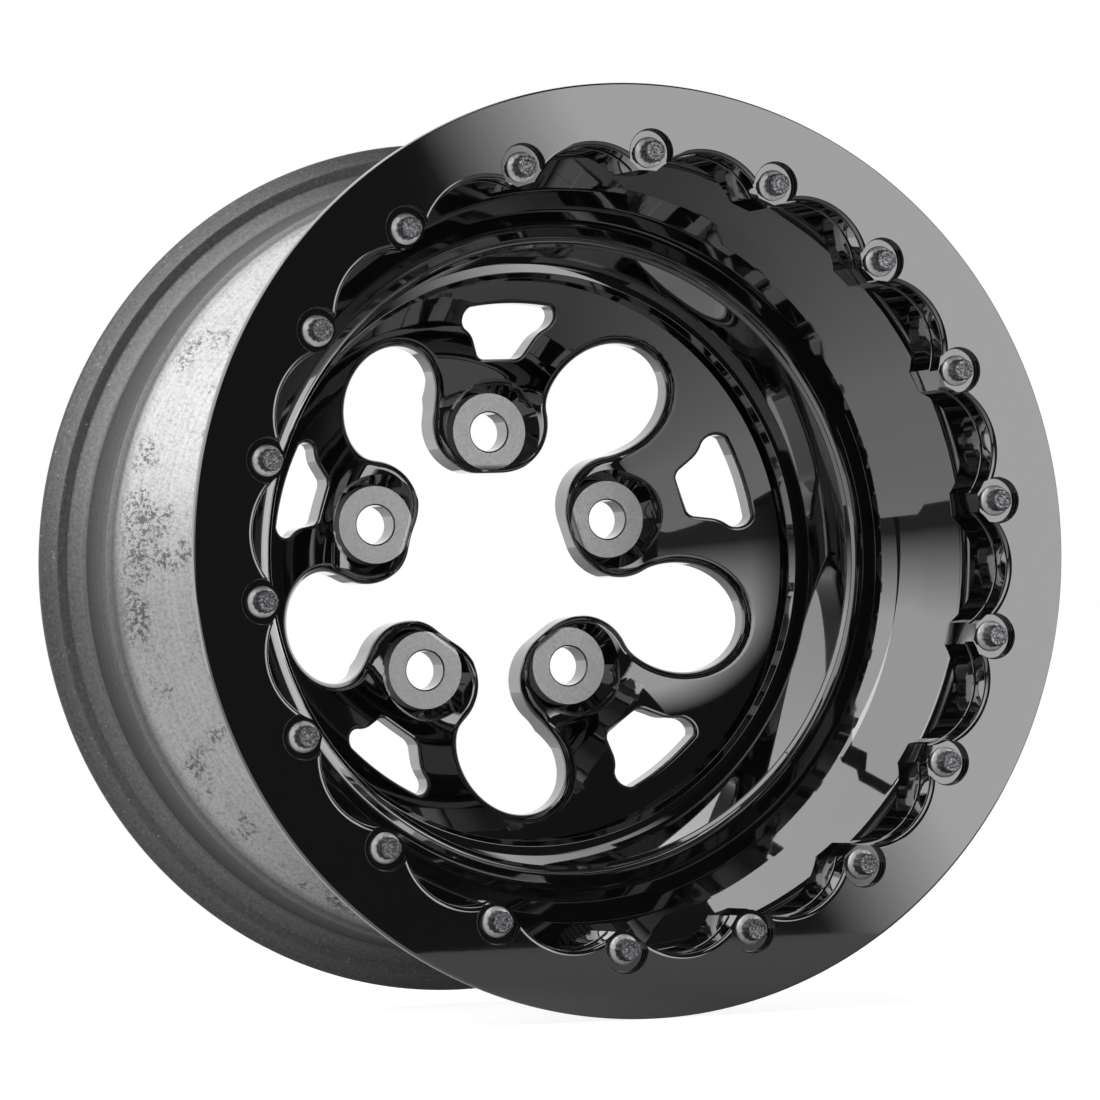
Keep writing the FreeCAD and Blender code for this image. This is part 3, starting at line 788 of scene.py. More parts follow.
def make_outer_half():
    """Deep black dish between the mount ring and the centre, with the valve hole in its wall."""
    half, line, pairs = turned_piece("deep_dish_half", [
        (188.0, MOUNT_BACK, 0.0),
        (188.0, 46.5, 10.0),
        (172.0, 61.3, 70.0),
        (163.0, 70.7, 70.0),
        (156.4, 78.4, 60.0),
        (149.7, 88.0, 20.0),
        (148.4, 93.0, 1.0),
        (146.5, 94.5, 1.2),
        (RIM_OUTSIDE, 130.0, 8.0),
        (RIM_OUTSIDE, SPLIT_DEPTH, 0.0),
        (WELL_RADIUS, SPLIT_DEPTH, 0.0),
        (WELL_RADIUS, 130.0, 8.0),
        (151.5, 99.5, 4.0),
        (154.9, 87.1, 25.0),
        (193.0, 48.5, 11.0),
        (193.0, MOUNT_BACK, 0.0),
    ])
    drill = valve_drill()
    modifier = half.modifiers.new("valve_hole", "BOOLEAN")
    modifier.operation = "DIFFERENCE"
    modifier.solver = "MANIFOLD"
    modifier.object = drill
    keep_result(half, modifier)
    discard(drill)
    painted(half, black)
    polish(half, [(line, pairs, 0.0, 0.0)])
    return half


def make_inner_half():
    """Bare barrel behind the centre, with the rear bead seat and flange."""
    half, _, _ = turned_piece("bare_barrel_half", [
        (WELL_RADIUS, SPLIT_DEPTH, 0.0),
        (WELL_RADIUS, 174.0, 9.0),
        (186.0, 208.0, 8.0),
        (189.0, 214.0, 3.0),
        (190.9, 240.0, 5.0),
        (198.0, 246.0, 4.0),
        (203.0, 247.5, 2.0),
        (209.5, 254.0, 2.5),
        (209.5, 257.0, 1.5),
        (206.0, 260.0, 1.5),
        (203.5, 260.0, 0.6),
        (203.5, 257.5, 0.6),
        (199.0, 251.5, 2.0),
        (193.0, 249.5, 3.0),
        (185.4, 241.0, 4.0),
        (184.5, 214.0, 3.0),
        (182.5, 210.0, 5.0),
        (RIM_OUTSIDE, 177.0, 6.0),
        (RIM_OUTSIDE, SPLIT_DEPTH, 0.0),
    ])
    return painted(half, aluminium)


def bolt_template():
    """Twelve-point flanged bolt with its seat at depth 0, head towards the front."""
    steps = 48
    point_cap = 0.985
    flat = BOLT_HEAD * math.cos(math.radians(30))
    star = []
    for step in range(steps):
        angle = 360.0 * step / steps
        hexes = [flat / math.cos(math.radians((angle - start) % 60 - 30)) for start in (0, 30)]
        star.append(min(max(hexes), BOLT_HEAD * point_cap))
    top = -(BOLT_FLANGE_HEIGHT + BOLT_HEAD_HEIGHT)

    def even(radius):
        return [radius] * steps

    rows = [
        (BOLT_SHANK_LENGTH, even(BOLT_SHANK - 0.8)),
        (BOLT_SHANK_LENGTH - 0.8, even(BOLT_SHANK)),
        (0.0, even(BOLT_SHANK)),
        (0.0, even(BOLT_FLANGE - 0.25)),
        (-0.25, even(BOLT_FLANGE)),
        (-0.9, even(BOLT_FLANGE)),
        (-1.25, even(BOLT_FLANGE - 0.35)),
        (-1.9, [radius + 0.55 for radius in star]),
        (-2.2, star),
        (top + 0.9, star),
        (top + 0.35, [min(radius, BOLT_HEAD * 0.95) for radius in star]),
        (top, even(BOLT_HEAD * 0.80)),
        (top + 0.15, even(BOLT_HEAD * 0.52)),
        (top + 0.55, even(BOLT_HEAD * 0.44)),
    ]
    points = []
    for depth, radii in rows:
        for step, radius in enumerate(radii):
            angle = 2 * math.pi * step / steps
            points.append((radius * math.cos(angle), depth, radius * math.sin(angle)))
    last = (len(rows) - 1) * steps
    faces = [tuple(range(steps)), tuple(range(last + steps - 1, last - 1, -1))]
    for start in range(0, last, steps):
        for step in range(steps):
            following = (step + 1) % steps
            faces.append((start + step, start + following, start + steps + following, start + steps + step))
    bolt = piece_from("twelve_point_bolt", np.array(points) / 1000.0, faces)
    turn_outwards(bolt.data)
    return bolt


def make_clamp_bolts():
    """One bolt in each pocket of the clamp ring."""
    template = bolt_template()
    template.data.transform(Matrix.Translation((0, (POCKET_DEPTH - HUB_DEPTH) / 1000, 0)))
    bolts = piece_from("clamp_ring_bolts", [], [])
    apply_tree(bolts, ring_tree("clamp_bolt_circle"), {
        "Material": plating, "Count": CLAMP_BOLTS, "Fastener": template,
        "Circle": CLAMP_CIRCLE / 1000, "Phase": CLAMP_PHASE,
    })
    discard(template)
    painted(bolts, plating)
    bolts.data.shade_smooth()
    bolts.data.set_sharp_from_angle(angle=math.radians(24))
    return bolts


# The centre is drawn in one fifth, with its finger pointing up, then turned five times.

FIFTH = math.radians(180 / LUGS)
LOBE_CENTER = np.array((LOBE_CIRCLE * math.sin(FIFTH), LOBE_CIRCLE * math.cos(FIFTH)))
LUG_CENTER = np.array((0.0, LUG_RADIUS))
TIP_TO_LOBE_UP = LOBE_CENTER[1] - TIP_FLAT - TIP_ROUND
TIP_TO_LOBE_ACROSS = math.sqrt((TIP_ROUND + LOBE_RADIUS) ** 2 - TIP_TO_LOBE_UP ** 2)
FLAT_HALF = LOBE_CENTER[0] - TIP_TO_LOBE_ACROSS
TIP_CENTER = np.array((FLAT_HALF, TIP_FLAT + TIP_ROUND))
TANGENT = math.atan2(TIP_TO_LOBE_UP, TIP_TO_LOBE_ACROSS)
LOBE_STRIP_ANGLES = (0, 9, 18, 28, 38, 50, 62, 76, 90)
WINDOW_STRIP_ANGLES = (0, 14, 30, 50, 70, 90)
LUG_HOLE_STEPS = 64
WEDGE_STEPS = 72
FAR = 1e3


def arc_points(center, radius, first, last, steps):
    """Points along an arc between two angles."""
    turns = np.linspace(first, last, steps)
    return np.stack((center[0] + radius * np.cos(turns), center[1] + radius * np.sin(turns)), 1)


def finger_edge(inset):
    """Half of a finger's edge, from the middle of its tip to the lobe's crown, moved into the metal."""
    flat = np.stack((np.linspace(0, FLAT_HALF, 5), np.full(5, TIP_FLAT + inset)), 1)[:-1]
    tip = arc_points(TIP_CENTER, TIP_ROUND - inset, -math.pi / 2, TANGENT, 40)
    crown = math.pi / 2 - FIFTH
    lobe = arc_points(LOBE_CENTER, LOBE_RADIUS + inset, math.pi + TANGENT, crown, 64)[1:]
    return np.concatenate((flat, tip, lobe))


def bend_between(start, end, radius, side, steps):
    """Arc of a given radius from start to end, bulging to the right of travel where side is 1."""
    start, end = np.array(start, float), np.array(end, float)
    chord = end - start
    length = np.linalg.norm(chord)
    left = np.array((-chord[1], chord[0])) / length
    center = (start + end) / 2 + left * side * math.sqrt(max(radius ** 2 - length ** 2 / 4, 0))
    first = math.atan2(*(start - center)[::-1])
    sweep = 2 * math.asin(min(1.0, length / 2 / radius)) * side
    return arc_points(center, radius, first, first + sweep, steps)


WINDOW_SIDE = 20.2
WINDOW_TOP = 124.0
WINDOW_ARCH = np.linspace(math.asin(WINDOW_SIDE / WINDOW_TOP), 0, 10)[1:]
WINDOW_HALF = np.concatenate((
    np.array([(0.0, 98.0), (4.0, 98.0)]),
    bend_between((8.0, 98.0), (12.3, 101.0), 5.0, 1, 10),
    bend_between((15.2, 106.6), (WINDOW_SIDE, 111.8), 14.0, -1, 10),
    bend_between(
        (WINDOW_SIDE, 111.8), (WINDOW_SIDE, math.sqrt(WINDOW_TOP ** 2 - WINDOW_SIDE ** 2)), 6.0, 1, 18,
    )[1:],
    np.stack((WINDOW_TOP * np.sin(WINDOW_ARCH), WINDOW_TOP * np.cos(WINDOW_ARCH)), 1),
))


def both_sides(half):
    """Whole line from its right half: mirrored left half, then the right half."""
    mirrored = half[::-1] * np.array((-1.0, 1.0))
    return np.concatenate((mirrored[:-1], half))


WINDOW_LOOP = both_sides(WINDOW_HALF)[:-1]


def moved_out(loop, distance):
    """Closed counter-clockwise loop moved outwards along its own normals."""
    ahead = np.roll(loop, -1, axis=0) - loop
    ahead /= np.linalg.norm(ahead, axis=1)[:, None]
    behind = np.roll(ahead, 1, axis=0)
    out = np.stack((ahead[:, 1] + behind[:, 1], -ahead[:, 0] - behind[:, 0]), 1)
    out /= np.linalg.norm(out, axis=1)[:, None]
    spread = np.clip((out * np.stack((ahead[:, 1], -ahead[:, 0]), 1)).sum(1), 0.5, 1)
    return loop + out * (distance / spread)[:, None]


def inside(loop, points):
    """Which points lie inside a closed loop."""
    result = np.zeros(len(points), bool)
    x, z = points[:, 0], points[:, 1]
    for (ax, az), (bx, bz) in zip(loop, np.roll(loop, -1, axis=0)):
        crosses = (az > z) != (bz > z)
        if az != bz:
            result ^= crosses & (x < (bx - ax) * (z - az) / (bz - az) + ax)
    return result


def edge_distance(points):
    """How far points of the metal lie from the lobed opening's edge."""
    folded = np.stack((np.abs(points[:, 0]), points[:, 1]), 1)
    far = np.full(len(points), FAR)
    flat = np.where(folded[:, 0] <= FLAT_HALF, np.abs(folded[:, 1] - TIP_FLAT), far)
    spoke = folded - TIP_CENTER
    turn = np.arctan2(spoke[:, 1], spoke[:, 0])
    on_tip = (turn >= -math.pi / 2 - 0.01) & (turn <= TANGENT + 0.001)
    tip = np.where(on_tip, np.abs(TIP_ROUND - np.linalg.norm(spoke, axis=1)), far)
    spoke = folded - LOBE_CENTER
    turn = np.arctan2(spoke[:, 1], spoke[:, 0]) % (2 * math.pi)
    on_lobe = (turn <= math.pi + TANGENT + 0.001) & (turn >= 0.2)
    lobe = np.where(on_lobe, np.abs(np.linalg.norm(spoke, axis=1) - LOBE_RADIUS), far)
    return np.minimum(np.minimum(flat, tip), lobe)


def window_distance(points):
    """How far points lie from the window's edge."""
    best = np.full(len(points), FAR)
    for start, end in zip(WINDOW_LOOP, np.roll(WINDOW_LOOP, -1, axis=0)):
        run = end - start
        along = np.clip(((points - start) @ run) / (run @ run), 0, 1)
        best = np.minimum(best, np.linalg.norm(points - start - along[:, None] * run, axis=1))
    return best


def rounding_drop(distance, radius):
    """How much deeper a rounded edge lies at a distance in from it."""
    near = np.clip(radius - distance, 0, radius)
    return radius - np.sqrt(np.maximum(radius ** 2 - near ** 2, 0))


def bowl_depth(radius):
    """Front of the plate: flat pads, then a shallow bowl rising to the rim."""
    chord = np.array((BOWL_EDGE[0] - PAD_RADIUS, BOWL_EDGE[1] - PAD_DEPTH))
    length = np.linalg.norm(chord)
    normal = np.array((-chord[1], chord[0])) / length
    middle = np.array((PAD_RADIUS, PAD_DEPTH)) + chord / 2
    center = middle + normal * math.sqrt(BOWL_BEND ** 2 - length ** 2 / 4)
    rising = center[1] - np.sqrt(BOWL_BEND ** 2 - (radius - center[0]) ** 2)
    low = np.minimum(rising, PAD_DEPTH)
    gap = np.abs(rising - PAD_DEPTH)
    return low - BOWL_BLEND * np.log1p(np.exp(-gap / BOWL_BLEND))


def seat_depth(reach):
    """Lug recess: flat floor, sloping mouth, and a steep wall where the bowl rises beside it."""
    slope = SEAT_DEPTH - (SEAT_DEPTH - PAD_DEPTH) * (reach - SEAT_RADIUS) / (MOUTH_RADIUS - SEAT_RADIUS)
    wall_steepness = 4
    wall = PAD_DEPTH - (reach - MOUTH_RADIUS) * wall_steepness
    floor = SEAT_DEPTH + np.clip(LUG_HOLE + LUG_HOLE_BREAK - reach, 0, None)
    return np.where(reach < SEAT_RADIUS, floor, np.where(reach < MOUTH_RADIUS, slope, wall))


def front_depth(points):
    """Depth of the centre's front, with its edges rounded."""
    radius = np.hypot(points[:, 0], points[:, 1])
    reach = np.hypot(points[:, 0], points[:, 1] - LUG_RADIUS)
    plain = np.maximum(bowl_depth(radius), seat_depth(reach))
    return (plain + rounding_drop(edge_distance(points), LOBE_EDGE_ROUND)
            + rounding_drop(window_distance(points), WINDOW_EDGE_ROUND))


def back_depth(points):
    """Depth of the centre's back, with its edges rounded."""
    radius = np.hypot(points[:, 0], points[:, 1])
    plain = np.interp(radius, [r for r, _ in BACK_LINE], [d for _, d in BACK_LINE])
    return (plain - rounding_drop(edge_distance(points), BACK_EDGE_ROUND)
            - rounding_drop(window_distance(points), BACK_EDGE_ROUND))


def mouth_loop():
    """Where the lug recess meets the front of the plate."""
    turns = np.linspace(0, 2 * math.pi, 120, endpoint=False)
    reaches = np.linspace(SEAT_RADIUS + 0.5, 32, 1200)
    loop = []
    for turn in turns:
        radius = np.hypot(reaches * math.cos(turn), LUG_RADIUS + reaches * math.sin(turn))
        above = seat_depth(reaches) <= bowl_depth(radius)
        reach = reaches[int(np.argmax(above))]
        loop.append((reach * math.cos(turn), LUG_RADIUS + reach * math.sin(turn)))
    return np.array(loop)


def strips_in(rounding, angles):
    """How far in from an edge the lines along its rounding lie."""
    return [rounding * (1 - math.cos(math.radians(angle))) for angle in angles]


def center_lines():
    """Lines that the centre's sheet has to follow, as points and the edges between them."""
    points = []
    edges = []

    def add_line(line, closed=False):
        start = len(points)
        points.extend(Vector(p) for p in line)
        edges.extend((start + i, start + i + 1) for i in range(len(line) - 1))
        if closed:
            edges.append((start + len(line) - 1, start))

    wedge = np.linspace(-FIFTH, FIFTH, WEDGE_STEPS + 1)
    for radius in (BOWL_EDGE[0], RIM_INSIDE, BOWL_BAND, HUB_PAD_RADIUS, BACK_BEND[0]):
        add_line(np.stack((radius * np.sin(wedge), radius * np.cos(wedge)), 1))
    strips = strips_in(LOBE_EDGE_ROUND, LOBE_STRIP_ANGLES) + [BACK_EDGE_ROUND]
    for inset in strips:
        add_line(both_sides(finger_edge(inset)))
    for inset in strips_in(WINDOW_EDGE_ROUND, WINDOW_STRIP_ANGLES):
        add_line(moved_out(WINDOW_LOOP, inset) if inset > 0 else WINDOW_LOOP, closed=True)
    crown = LOBE_CIRCLE + LOBE_RADIUS
    bands = [CROWN_BAND, BOWL_BAND, BOWL_EDGE[0], RIM_INSIDE]
    reach = np.array(sorted([crown + strip for strip in strips] + bands))
    for side in (-1, 1):
        add_line(np.stack((side * reach * math.sin(FIFTH), reach * math.cos(FIFTH)), 1))
    rings = ((LUG_HOLE, LUG_HOLE_STEPS), (LUG_HOLE + LUG_HOLE_BREAK, LUG_HOLE_STEPS), (SEAT_RADIUS, 110))
    for radius, steps in rings:
        add_line(arc_points(LUG_CENTER, radius, 0, 2 * math.pi * (1 - 1 / steps), steps), closed=True)
    add_line(mouth_loop(), closed=True)
    return points, edges


def center_grid():
    """Even points over the centre's sheet, clear of its lines."""
    first_ring, last_ring, ring_step, spread = 46.0, 136.0, 2.2, 2.4
    edge_room, seat_room, hole_room = 1.0, 1.2, 2.0
    grid = []
    for radius in np.arange(first_ring, last_ring, ring_step):
        count = int(radius * FIFTH / spread)
        for turn in np.linspace(-FIFTH, FIFTH, 2 * count + 1)[1:-1]:
            grid.append((radius * math.sin(turn), radius * math.cos(turn)))
    grid = np.array(grid)
    reach = np.hypot(grid[:, 0], grid[:, 1] - LUG_RADIUS)
    keep = edge_distance(grid) > LOBE_EDGE_ROUND + edge_room
    keep &= window_distance(grid) > WINDOW_EDGE_ROUND + edge_room
    keep &= np.abs(reach - MOUTH_RADIUS) > seat_room
    keep &= np.abs(reach - SEAT_RADIUS) > seat_room
    keep &= reach > LUG_HOLE + hole_room
    return [Vector(p) for p in grid[keep]]


def center_sheet():
    """Flat points and triangles of one fifth of the centre, all turned the same way."""
    points, edges = center_lines()
    flat, _, faces, _, _, _ = delaunay_2d_cdt(points + center_grid(), edges, [], 0, 1e-5)
    flat = np.array([tuple(p) for p in flat])
    # The order of the points and triangles can change from run to run, so both are sorted.
    order = np.lexsort(np.round(flat, 6).T)
    flat = flat[order]
    faces = np.argsort(order)[np.array(faces)]
    middles = flat[faces].mean(1)
    turn = np.arctan2(middles[:, 0], middles[:, 1])
    radius = np.hypot(middles[:, 0], middles[:, 1])
    opening = np.concatenate((
        both_sides(finger_edge(0.0)),
        np.array([(60.0, 20.0), (0.0, 0.0), (-60.0, 20.0)]),
    ))
    solid = (np.abs(turn) < FIFTH) & (radius < RIM_INSIDE - 0.01) & (radius > TIP_FLAT * 0.98)
    solid &= ~inside(opening, middles) & ~inside(WINDOW_LOOP, middles)
    lug_gap = np.hypot(middles[:, 0], middles[:, 1] - LUG_RADIUS)
    solid &= lug_gap > LUG_HOLE * math.cos(math.pi / LUG_HOLE_STEPS)
    faces = faces[solid]
    area = np.cross(flat[faces[:, 1]] - flat[faces[:, 0]], flat[faces[:, 2]] - flat[faces[:, 0]])
    faces[area < 0] = faces[area < 0][:, ::-1]
    faces = faces[np.abs(area) > 1e-7]
    faces = np.array([np.roll(face, -int(face.argmin())) for face in faces])
    return flat, faces[np.lexsort(faces.T[::-1])]


def sheet_normals(flat, faces, depth_at, towards):
    """Normals at each face corner, from the slope of the sheet just inside that corner."""
    corners = flat[faces]
    spots = (corners * 0.96 + corners.mean(1, keepdims=True) * 0.04).reshape(-1, 2)
    step = 1e-4
    across = (depth_at(spots + (step, 0)) - depth_at(spots - (step, 0))) / (2 * step)
    upright = (depth_at(spots + (0, step)) - depth_at(spots - (0, step))) / (2 * step)
    out = np.stack((across, -np.ones(len(spots)), upright), 1) * towards
    return (out / np.linalg.norm(out, axis=1)[:, None]).reshape(-1, 3, 3)


def wall_normal(spot, across):
    """Normal of an opening's wall at a spot on its edge; across is that of the straight run there."""
    lug_gap = spot - LUG_CENTER
    if abs(np.linalg.norm(lug_gap) - LUG_HOLE) < 0.2:
        return -lug_gap / np.linalg.norm(lug_gap)
    if edge_distance(np.array([spot]))[0] >= 0.01:
        return across
    folded = np.array((abs(spot[0]), spot[1]))
    side = np.array((1.0 if spot[0] >= 0 else -1.0, 1.0))
    tip_gap = folded - TIP_CENTER
    lobe_gap = folded - LOBE_CENTER
    out = np.array((0.0, -1.0))
    if abs(np.linalg.norm(lobe_gap) - LOBE_RADIUS) < 0.02:
        out = -lobe_gap * side
    elif abs(np.linalg.norm(tip_gap) - TIP_ROUND) < 0.02 and folded[0] > FLAT_HALF:
        out = tip_gap * side
    return out / np.linalg.norm(out)


def center_walls(flat, faces):
    """Faces and corner normals of the openings' walls, between the front and the back sheet."""
    count = len(flat)
    uses = {}
    for face in faces:
        for a, b in zip(face, np.roll(face, -1)):
            uses.setdefault((min(a, b), max(a, b)), []).append((a, b))
    wall_faces = []
    wall_normals = []
    for (a, b), found in uses.items():
        start, end = flat[a], flat[b]
        middle = (start + end) / 2
        beside_next_fifth = abs(abs(math.atan2(middle[0], middle[1])) - FIFTH) < 1e-4
        if len(found) != 1 or np.hypot(*middle) > RIM_INSIDE - 0.5 or beside_next_fifth:
            continue
        run = end - start
        across = np.array((-run[1], run[0])) / np.linalg.norm(run)
        if found[0] != (a, b):
            across = -across
        first, last = wall_normal(start, across), wall_normal(end, across)
        first, last = (first[0], 0.0, first[1]), (last[0], 0.0, last[1])
        wall_faces.append((a, b, b + count, a + count))
        wall_normals += [first, last, last, first]
    return wall_faces, wall_normals


def joined_corners(vertices, faces, normals):
    """Joins vertices at the same place, and drops the faces and corners that this flattens."""
    _, first, same = np.unique(np.round(vertices, 3), axis=0, return_index=True, return_inverse=True)
    same = same.reshape(-1)
    kept_faces = []
    kept_normals = []
    corner = 0
    for face in faces:
        own = normals[corner:corner + len(face)]
        corner += len(face)
        merged = [int(same[i]) for i in face]
        unique = list(dict.fromkeys(merged))
        if len(unique) < 3:
            continue
        kept_faces.append(tuple(unique))
        kept_normals.extend(own[merged.index(i)] for i in unique)
    return vertices[first], kept_faces, kept_normals


def make_center():
    """Lobed five-lug centre: one fifth turned five times, and the rim round it."""
    flat, sheet = center_sheet()
    count = len(flat)
    fifth = np.concatenate((
        np.stack((flat[:, 0], front_depth(flat), flat[:, 1]), 1),
        np.stack((flat[:, 0], back_depth(flat), flat[:, 1]), 1),
    ))
    shown = np.hypot(*flat[sheet].mean(1).T) < BOWL_EDGE[0]
    wall_faces, wall_normals = center_walls(flat, sheet)
    fifth_faces = [tuple(f) for f in sheet[shown]] + [tuple(f) for f in sheet + count] + wall_faces
    fifth_normals = np.concatenate((
        sheet_normals(flat, sheet, front_depth, 1.0)[shown].reshape(-1, 3),
        sheet_normals(flat, sheet, back_depth, -1.0).reshape(-1, 3),
        np.array(wall_normals),
    ))

    vertices = []
    normals = []
    faces = []
    for lug in range(LUGS):
        spin = np.array(Matrix.Rotation(-2 * math.pi * lug / LUGS, 3, "Y"))
        vertices.append(fifth @ spin.T)
        normals.append(fifth_normals @ spin.T)
        faces += [tuple(i + lug * 2 * count for i in f) for f in fifth_faces]

    line = rounded([
        (*BOWL_EDGE, 0.0),
        (135.0, 138.0, 0.8),
        (137.5, 135.5, 0.6),
        (RIM_OUTSIDE, 135.5, 0.0),
        (RIM_OUTSIDE, 172.0, 0.6),
        (RIM_INSIDE, 172.0, 0.6),
        (RIM_INSIDE, RIM_JOIN_DEPTH, 0.0),
    ], closed=False)
    pairs = section_normals(line, closed=False)
    rim_steps = WEDGE_STEPS * LUGS
    angles = [2 * math.pi * step / rim_steps + math.pi / 2 + FIFTH for step in range(rim_steps)]
    rim_points, rim_faces, rim_normals = spun(line, pairs, angles)
    faces += [tuple(i + LUGS * 2 * count for i in f) for f in rim_faces]
    vertices = np.concatenate((*vertices, np.array(rim_points)))
    normals = np.concatenate((*normals, np.array(rim_normals)))
    vertices, faces, normals = joined_corners(vertices, faces, normals)
    faces, normals = face_outwards(vertices, faces, normals)
    center = piece_from("five_lug_center", metres(vertices), faces, normals)

    painted(center, black)
    center.data.materials.append(seat_grey)
    for face in center.data.polygons:
        x, y, z = (value * 1000 for value in face.center)
        turn = (math.atan2(x, z) + FIFTH) % (2 * FIFTH) - FIFTH
        reach = math.hypot(x, z)
        gap = math.hypot(reach * math.sin(turn), reach * math.cos(turn) - LUG_RADIUS)
        if LUG_HOLE < gap < SEAT_RADIUS and abs(y + HUB_DEPTH - SEAT_DEPTH) < 1.0:
            face.material_index = 1
    return center


made = [
    (make_clamp_ring(), ("clamp_ring",), "black_gloss"),
    (make_mount_ring(), ("bead_mount_ring",), "black_gloss"),
    (make_outer_half(), ("outer_rim_half",), "black_gloss"),
    (make_inner_half(), ("inner_rim_half",), "raw_aluminium"),
    (make_clamp_bolts(), ("clamp_bolts",), "bolt_steel"),
    (make_center(), ("wheel_center",), "black_gloss"),
]
for piece, nodes, slot in made:
    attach(piece, "root")
    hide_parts(*nodes)
for node, material in (
    ("thread_inserts", plating), ("center_seam_bead", aluminium),
    ("ring_seam_bead", black), ("split_seam_bead", aluminium),
):
    painted(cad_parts[node], material)


# Stage, in metres

FLOOR_LEFT, FLOOR_RIGHT = -2.1, 0.5
FLOOR_FRONT, FLOOR_BACK = -1.1, 0.9
FLOOR_GLOW = 0.88
MIRRORED_FLOOR_GLOW = 0.4
MIRRORED_FLOOR_FADE = (-0.25, 0.1)
ROOM_GREY = (0.03, 0.03, 0.03)
BACKDROP_GREY = (0.8, 0.8, 0.8)
WHITE = (1.0, 1.0, 1.0, 1.0)
FULL_GLOW = [(0.0, 1.0), (1.0, 1.0)]
LOW_EDGE_DIM = [(0.12, 0.03), (0.42, 0.95)]


def ray_kinds(tree):
    """Whether the camera sees a surface itself, and whether it is seen in or through something."""
    rays = tree.nodes.new("ShaderNodeLightPath").outputs
    return rays["Is Camera Ray"], math_node(tree, "ADD", rays["Is Glossy Ray"], rays["Is Transmission Ray"])


def stage_floor():
    """Pale floor: white to the camera, with the wheel's shadow, and duller where the coat mirrors it."""
    low = cad_box[0].z
    floor = piece_from("pale_floor", [
        (FLOOR_LEFT, FLOOR_FRONT, low),
        (FLOOR_RIGHT, FLOOR_FRONT, low),
        (FLOOR_RIGHT, FLOOR_BACK, low),
        (FLOOR_LEFT, FLOOR_BACK, low),
    ], [(0, 1, 2, 3)])
    material, tree, shader, place = finish_with("pale_floor_paint", {
        "Roughness": 0.9,
        "Specular IOR Level": 0.0,
        "Base Color": (0.35, 0.35, 0.35, 1.0),
        "Emission Color": WHITE,
    })
    side = mapped(tree, parts(tree, place)[0], *MIRRORED_FLOOR_FADE, MIRRORED_FLOOR_GLOW, 0.0)
    seen, mirrored = ray_kinds(tree)
    seen = math_node(tree, "MULTIPLY", seen, FLOOR_GLOW)
    mirrored = math_node(tree, "MULTIPLY", mirrored, side)
    tree.links.new(math_node(tree, "ADD", seen, mirrored), shader.inputs["Emission Strength"])
    floor.data.materials.append(material)


def studio_world():
    """White to the camera; elsewhere a white backdrop behind the wheel and a dim room in front of it."""
    world = bpy.data.worlds.new("studio")
    bpy.context.scene.world = world
    world.use_nodes = True
    tree = world.node_tree
    tree.nodes.clear()
    direction = tree.nodes.new("ShaderNodeTexCoord").outputs["Generated"]
    behind = ramp(tree, parts(tree, direction)[1], [(0.05, 0.0), (0.35, 1.0)])
    room = tree.nodes.new("ShaderNodeBackground")
    white = tree.nodes.new("ShaderNodeBackground")
    set_inputs(white, {"Color": WHITE})
    seen, mirrored = ray_kinds(tree)
    mirrored = math_node(tree, "MULTIPLY", mirrored, behind)
    blend = tree.nodes.new("ShaderNodeMixShader")
    output = tree.nodes.new("ShaderNodeOutputWorld")
    link_nodes(
        tree,
        (mixed(tree, behind, ROOM_GREY, BACKDROP_GREY), room.inputs["Color"]),
        (math_node(tree, "ADD", seen, mirrored), blend.inputs[0]),
        (room.outputs[0], blend.inputs[1]),
        (white.outputs[0], blend.inputs[2]),
        (blend.outputs[0], output.inputs[0]),
    )


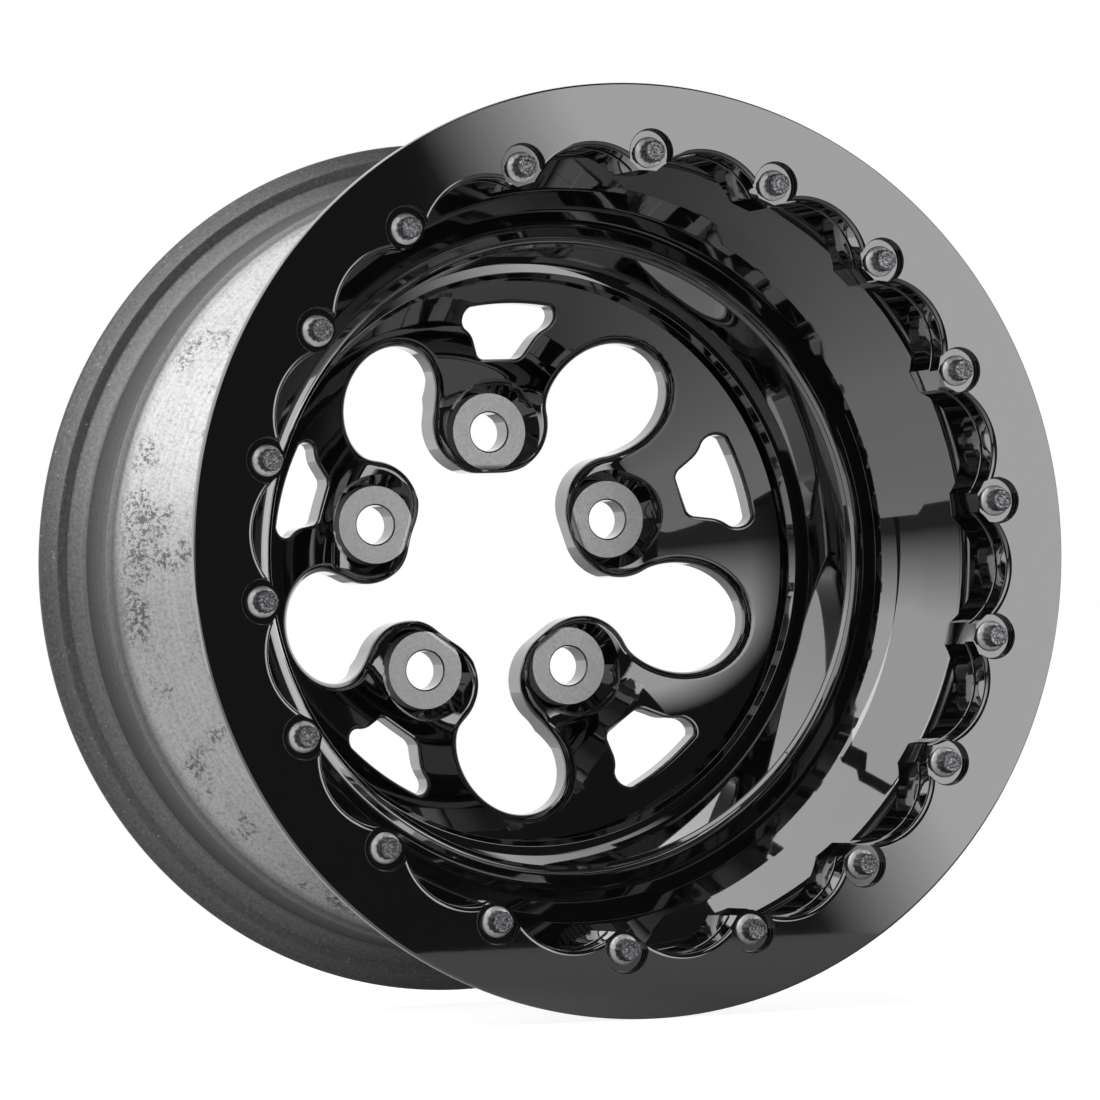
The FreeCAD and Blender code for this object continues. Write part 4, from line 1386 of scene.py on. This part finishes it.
def soft_light(name, place, target, width, height, glow, fade=FULL_GLOW, rise=FULL_GLOW, roll=0.0):
    """Soft box; seen from the wheel, fade runs its glow from left to right, and rise from bottom to top."""
    lamp = bpy.data.lights.new(name, "AREA")
    lamp.shape = "RECTANGLE"
    lamp.size = width
    lamp.size_y = height
    lamp.energy = glow * math.pi * width * height
    lamp.use_nodes = True
    tree = lamp.node_tree
    across, upwards, _ = parts(tree, tree.nodes.new("ShaderNodeNewGeometry").outputs["Parametric"])
    colour = both(tree, ramp(tree, across, fade), ramp(tree, upwards, rise))
    tree.links.new(colour, tree.nodes["Emission"].inputs["Color"])
    light = bpy.data.objects.new(name, lamp)
    light.location = place
    light.rotation_mode = "QUATERNION"
    aim = (Vector(target) - Vector(place)).to_track_quat("-Z", "Y")
    light.rotation_quaternion = aim @ Quaternion((0.0, 0.0, 1.0), roll)
    bpy.context.scene.collection.objects.link(light)


def photo_camera():
    """Camera at the place and with the lens found from the photograph."""
    data = bpy.data.cameras.new("photo_camera")
    data.sensor_width = 36.0
    data.lens = 223.4
    data.clip_end = 200.0
    camera = bpy.data.objects.new("photo_camera", data)
    place = (-1.1914, -3.1109, -0.0664)
    right = Vector((0.93002, -0.36592, -0.03383))
    up = Vector((0.02359, -0.03244, 0.99919))
    ahead = Vector((0.36673, 0.93008, 0.02154))
    turn = Matrix((right, up, -ahead)).transposed()
    camera.matrix_world = Matrix.Translation(place) @ turn.to_4x4()
    bpy.context.scene.collection.objects.link(camera)
    bpy.context.scene.camera = camera


stage_floor()
studio_world()
soft_light(
    "front_right_box", (1.86, -1.85, 0.3), (0.0, 0.0, 0.0), width=2.4, height=2.6, glow=2.1,
    fade=[(0.0, 0.0), (0.06, 1.0)], roll=math.radians(25),
)
soft_light(
    "left_box", (-2.3, -0.2, 1.0), (0.0, -0.2, 0.3), width=1.6, height=3.0, glow=2.0,
    fade=[(0.0, 0.0), (0.16, 1.0)], rise=LOW_EDGE_DIM,
)
soft_light(
    "high_left_box", (-1.95, -1.75, 0.95), (0.0, 0.0, 0.3), width=1.8, height=2.9, glow=1.9,
    fade=[(0.82, 1.0), (1.0, 0.0)], rise=LOW_EDGE_DIM,
)
soft_light("ceiling_box", (-0.9, -0.3, 2.4), (-0.2, 0.0, 0.0), width=2.4, height=1.8, glow=1.9)
photo_camera()
bpy.context.scene.view_settings.view_transform = "Standard"
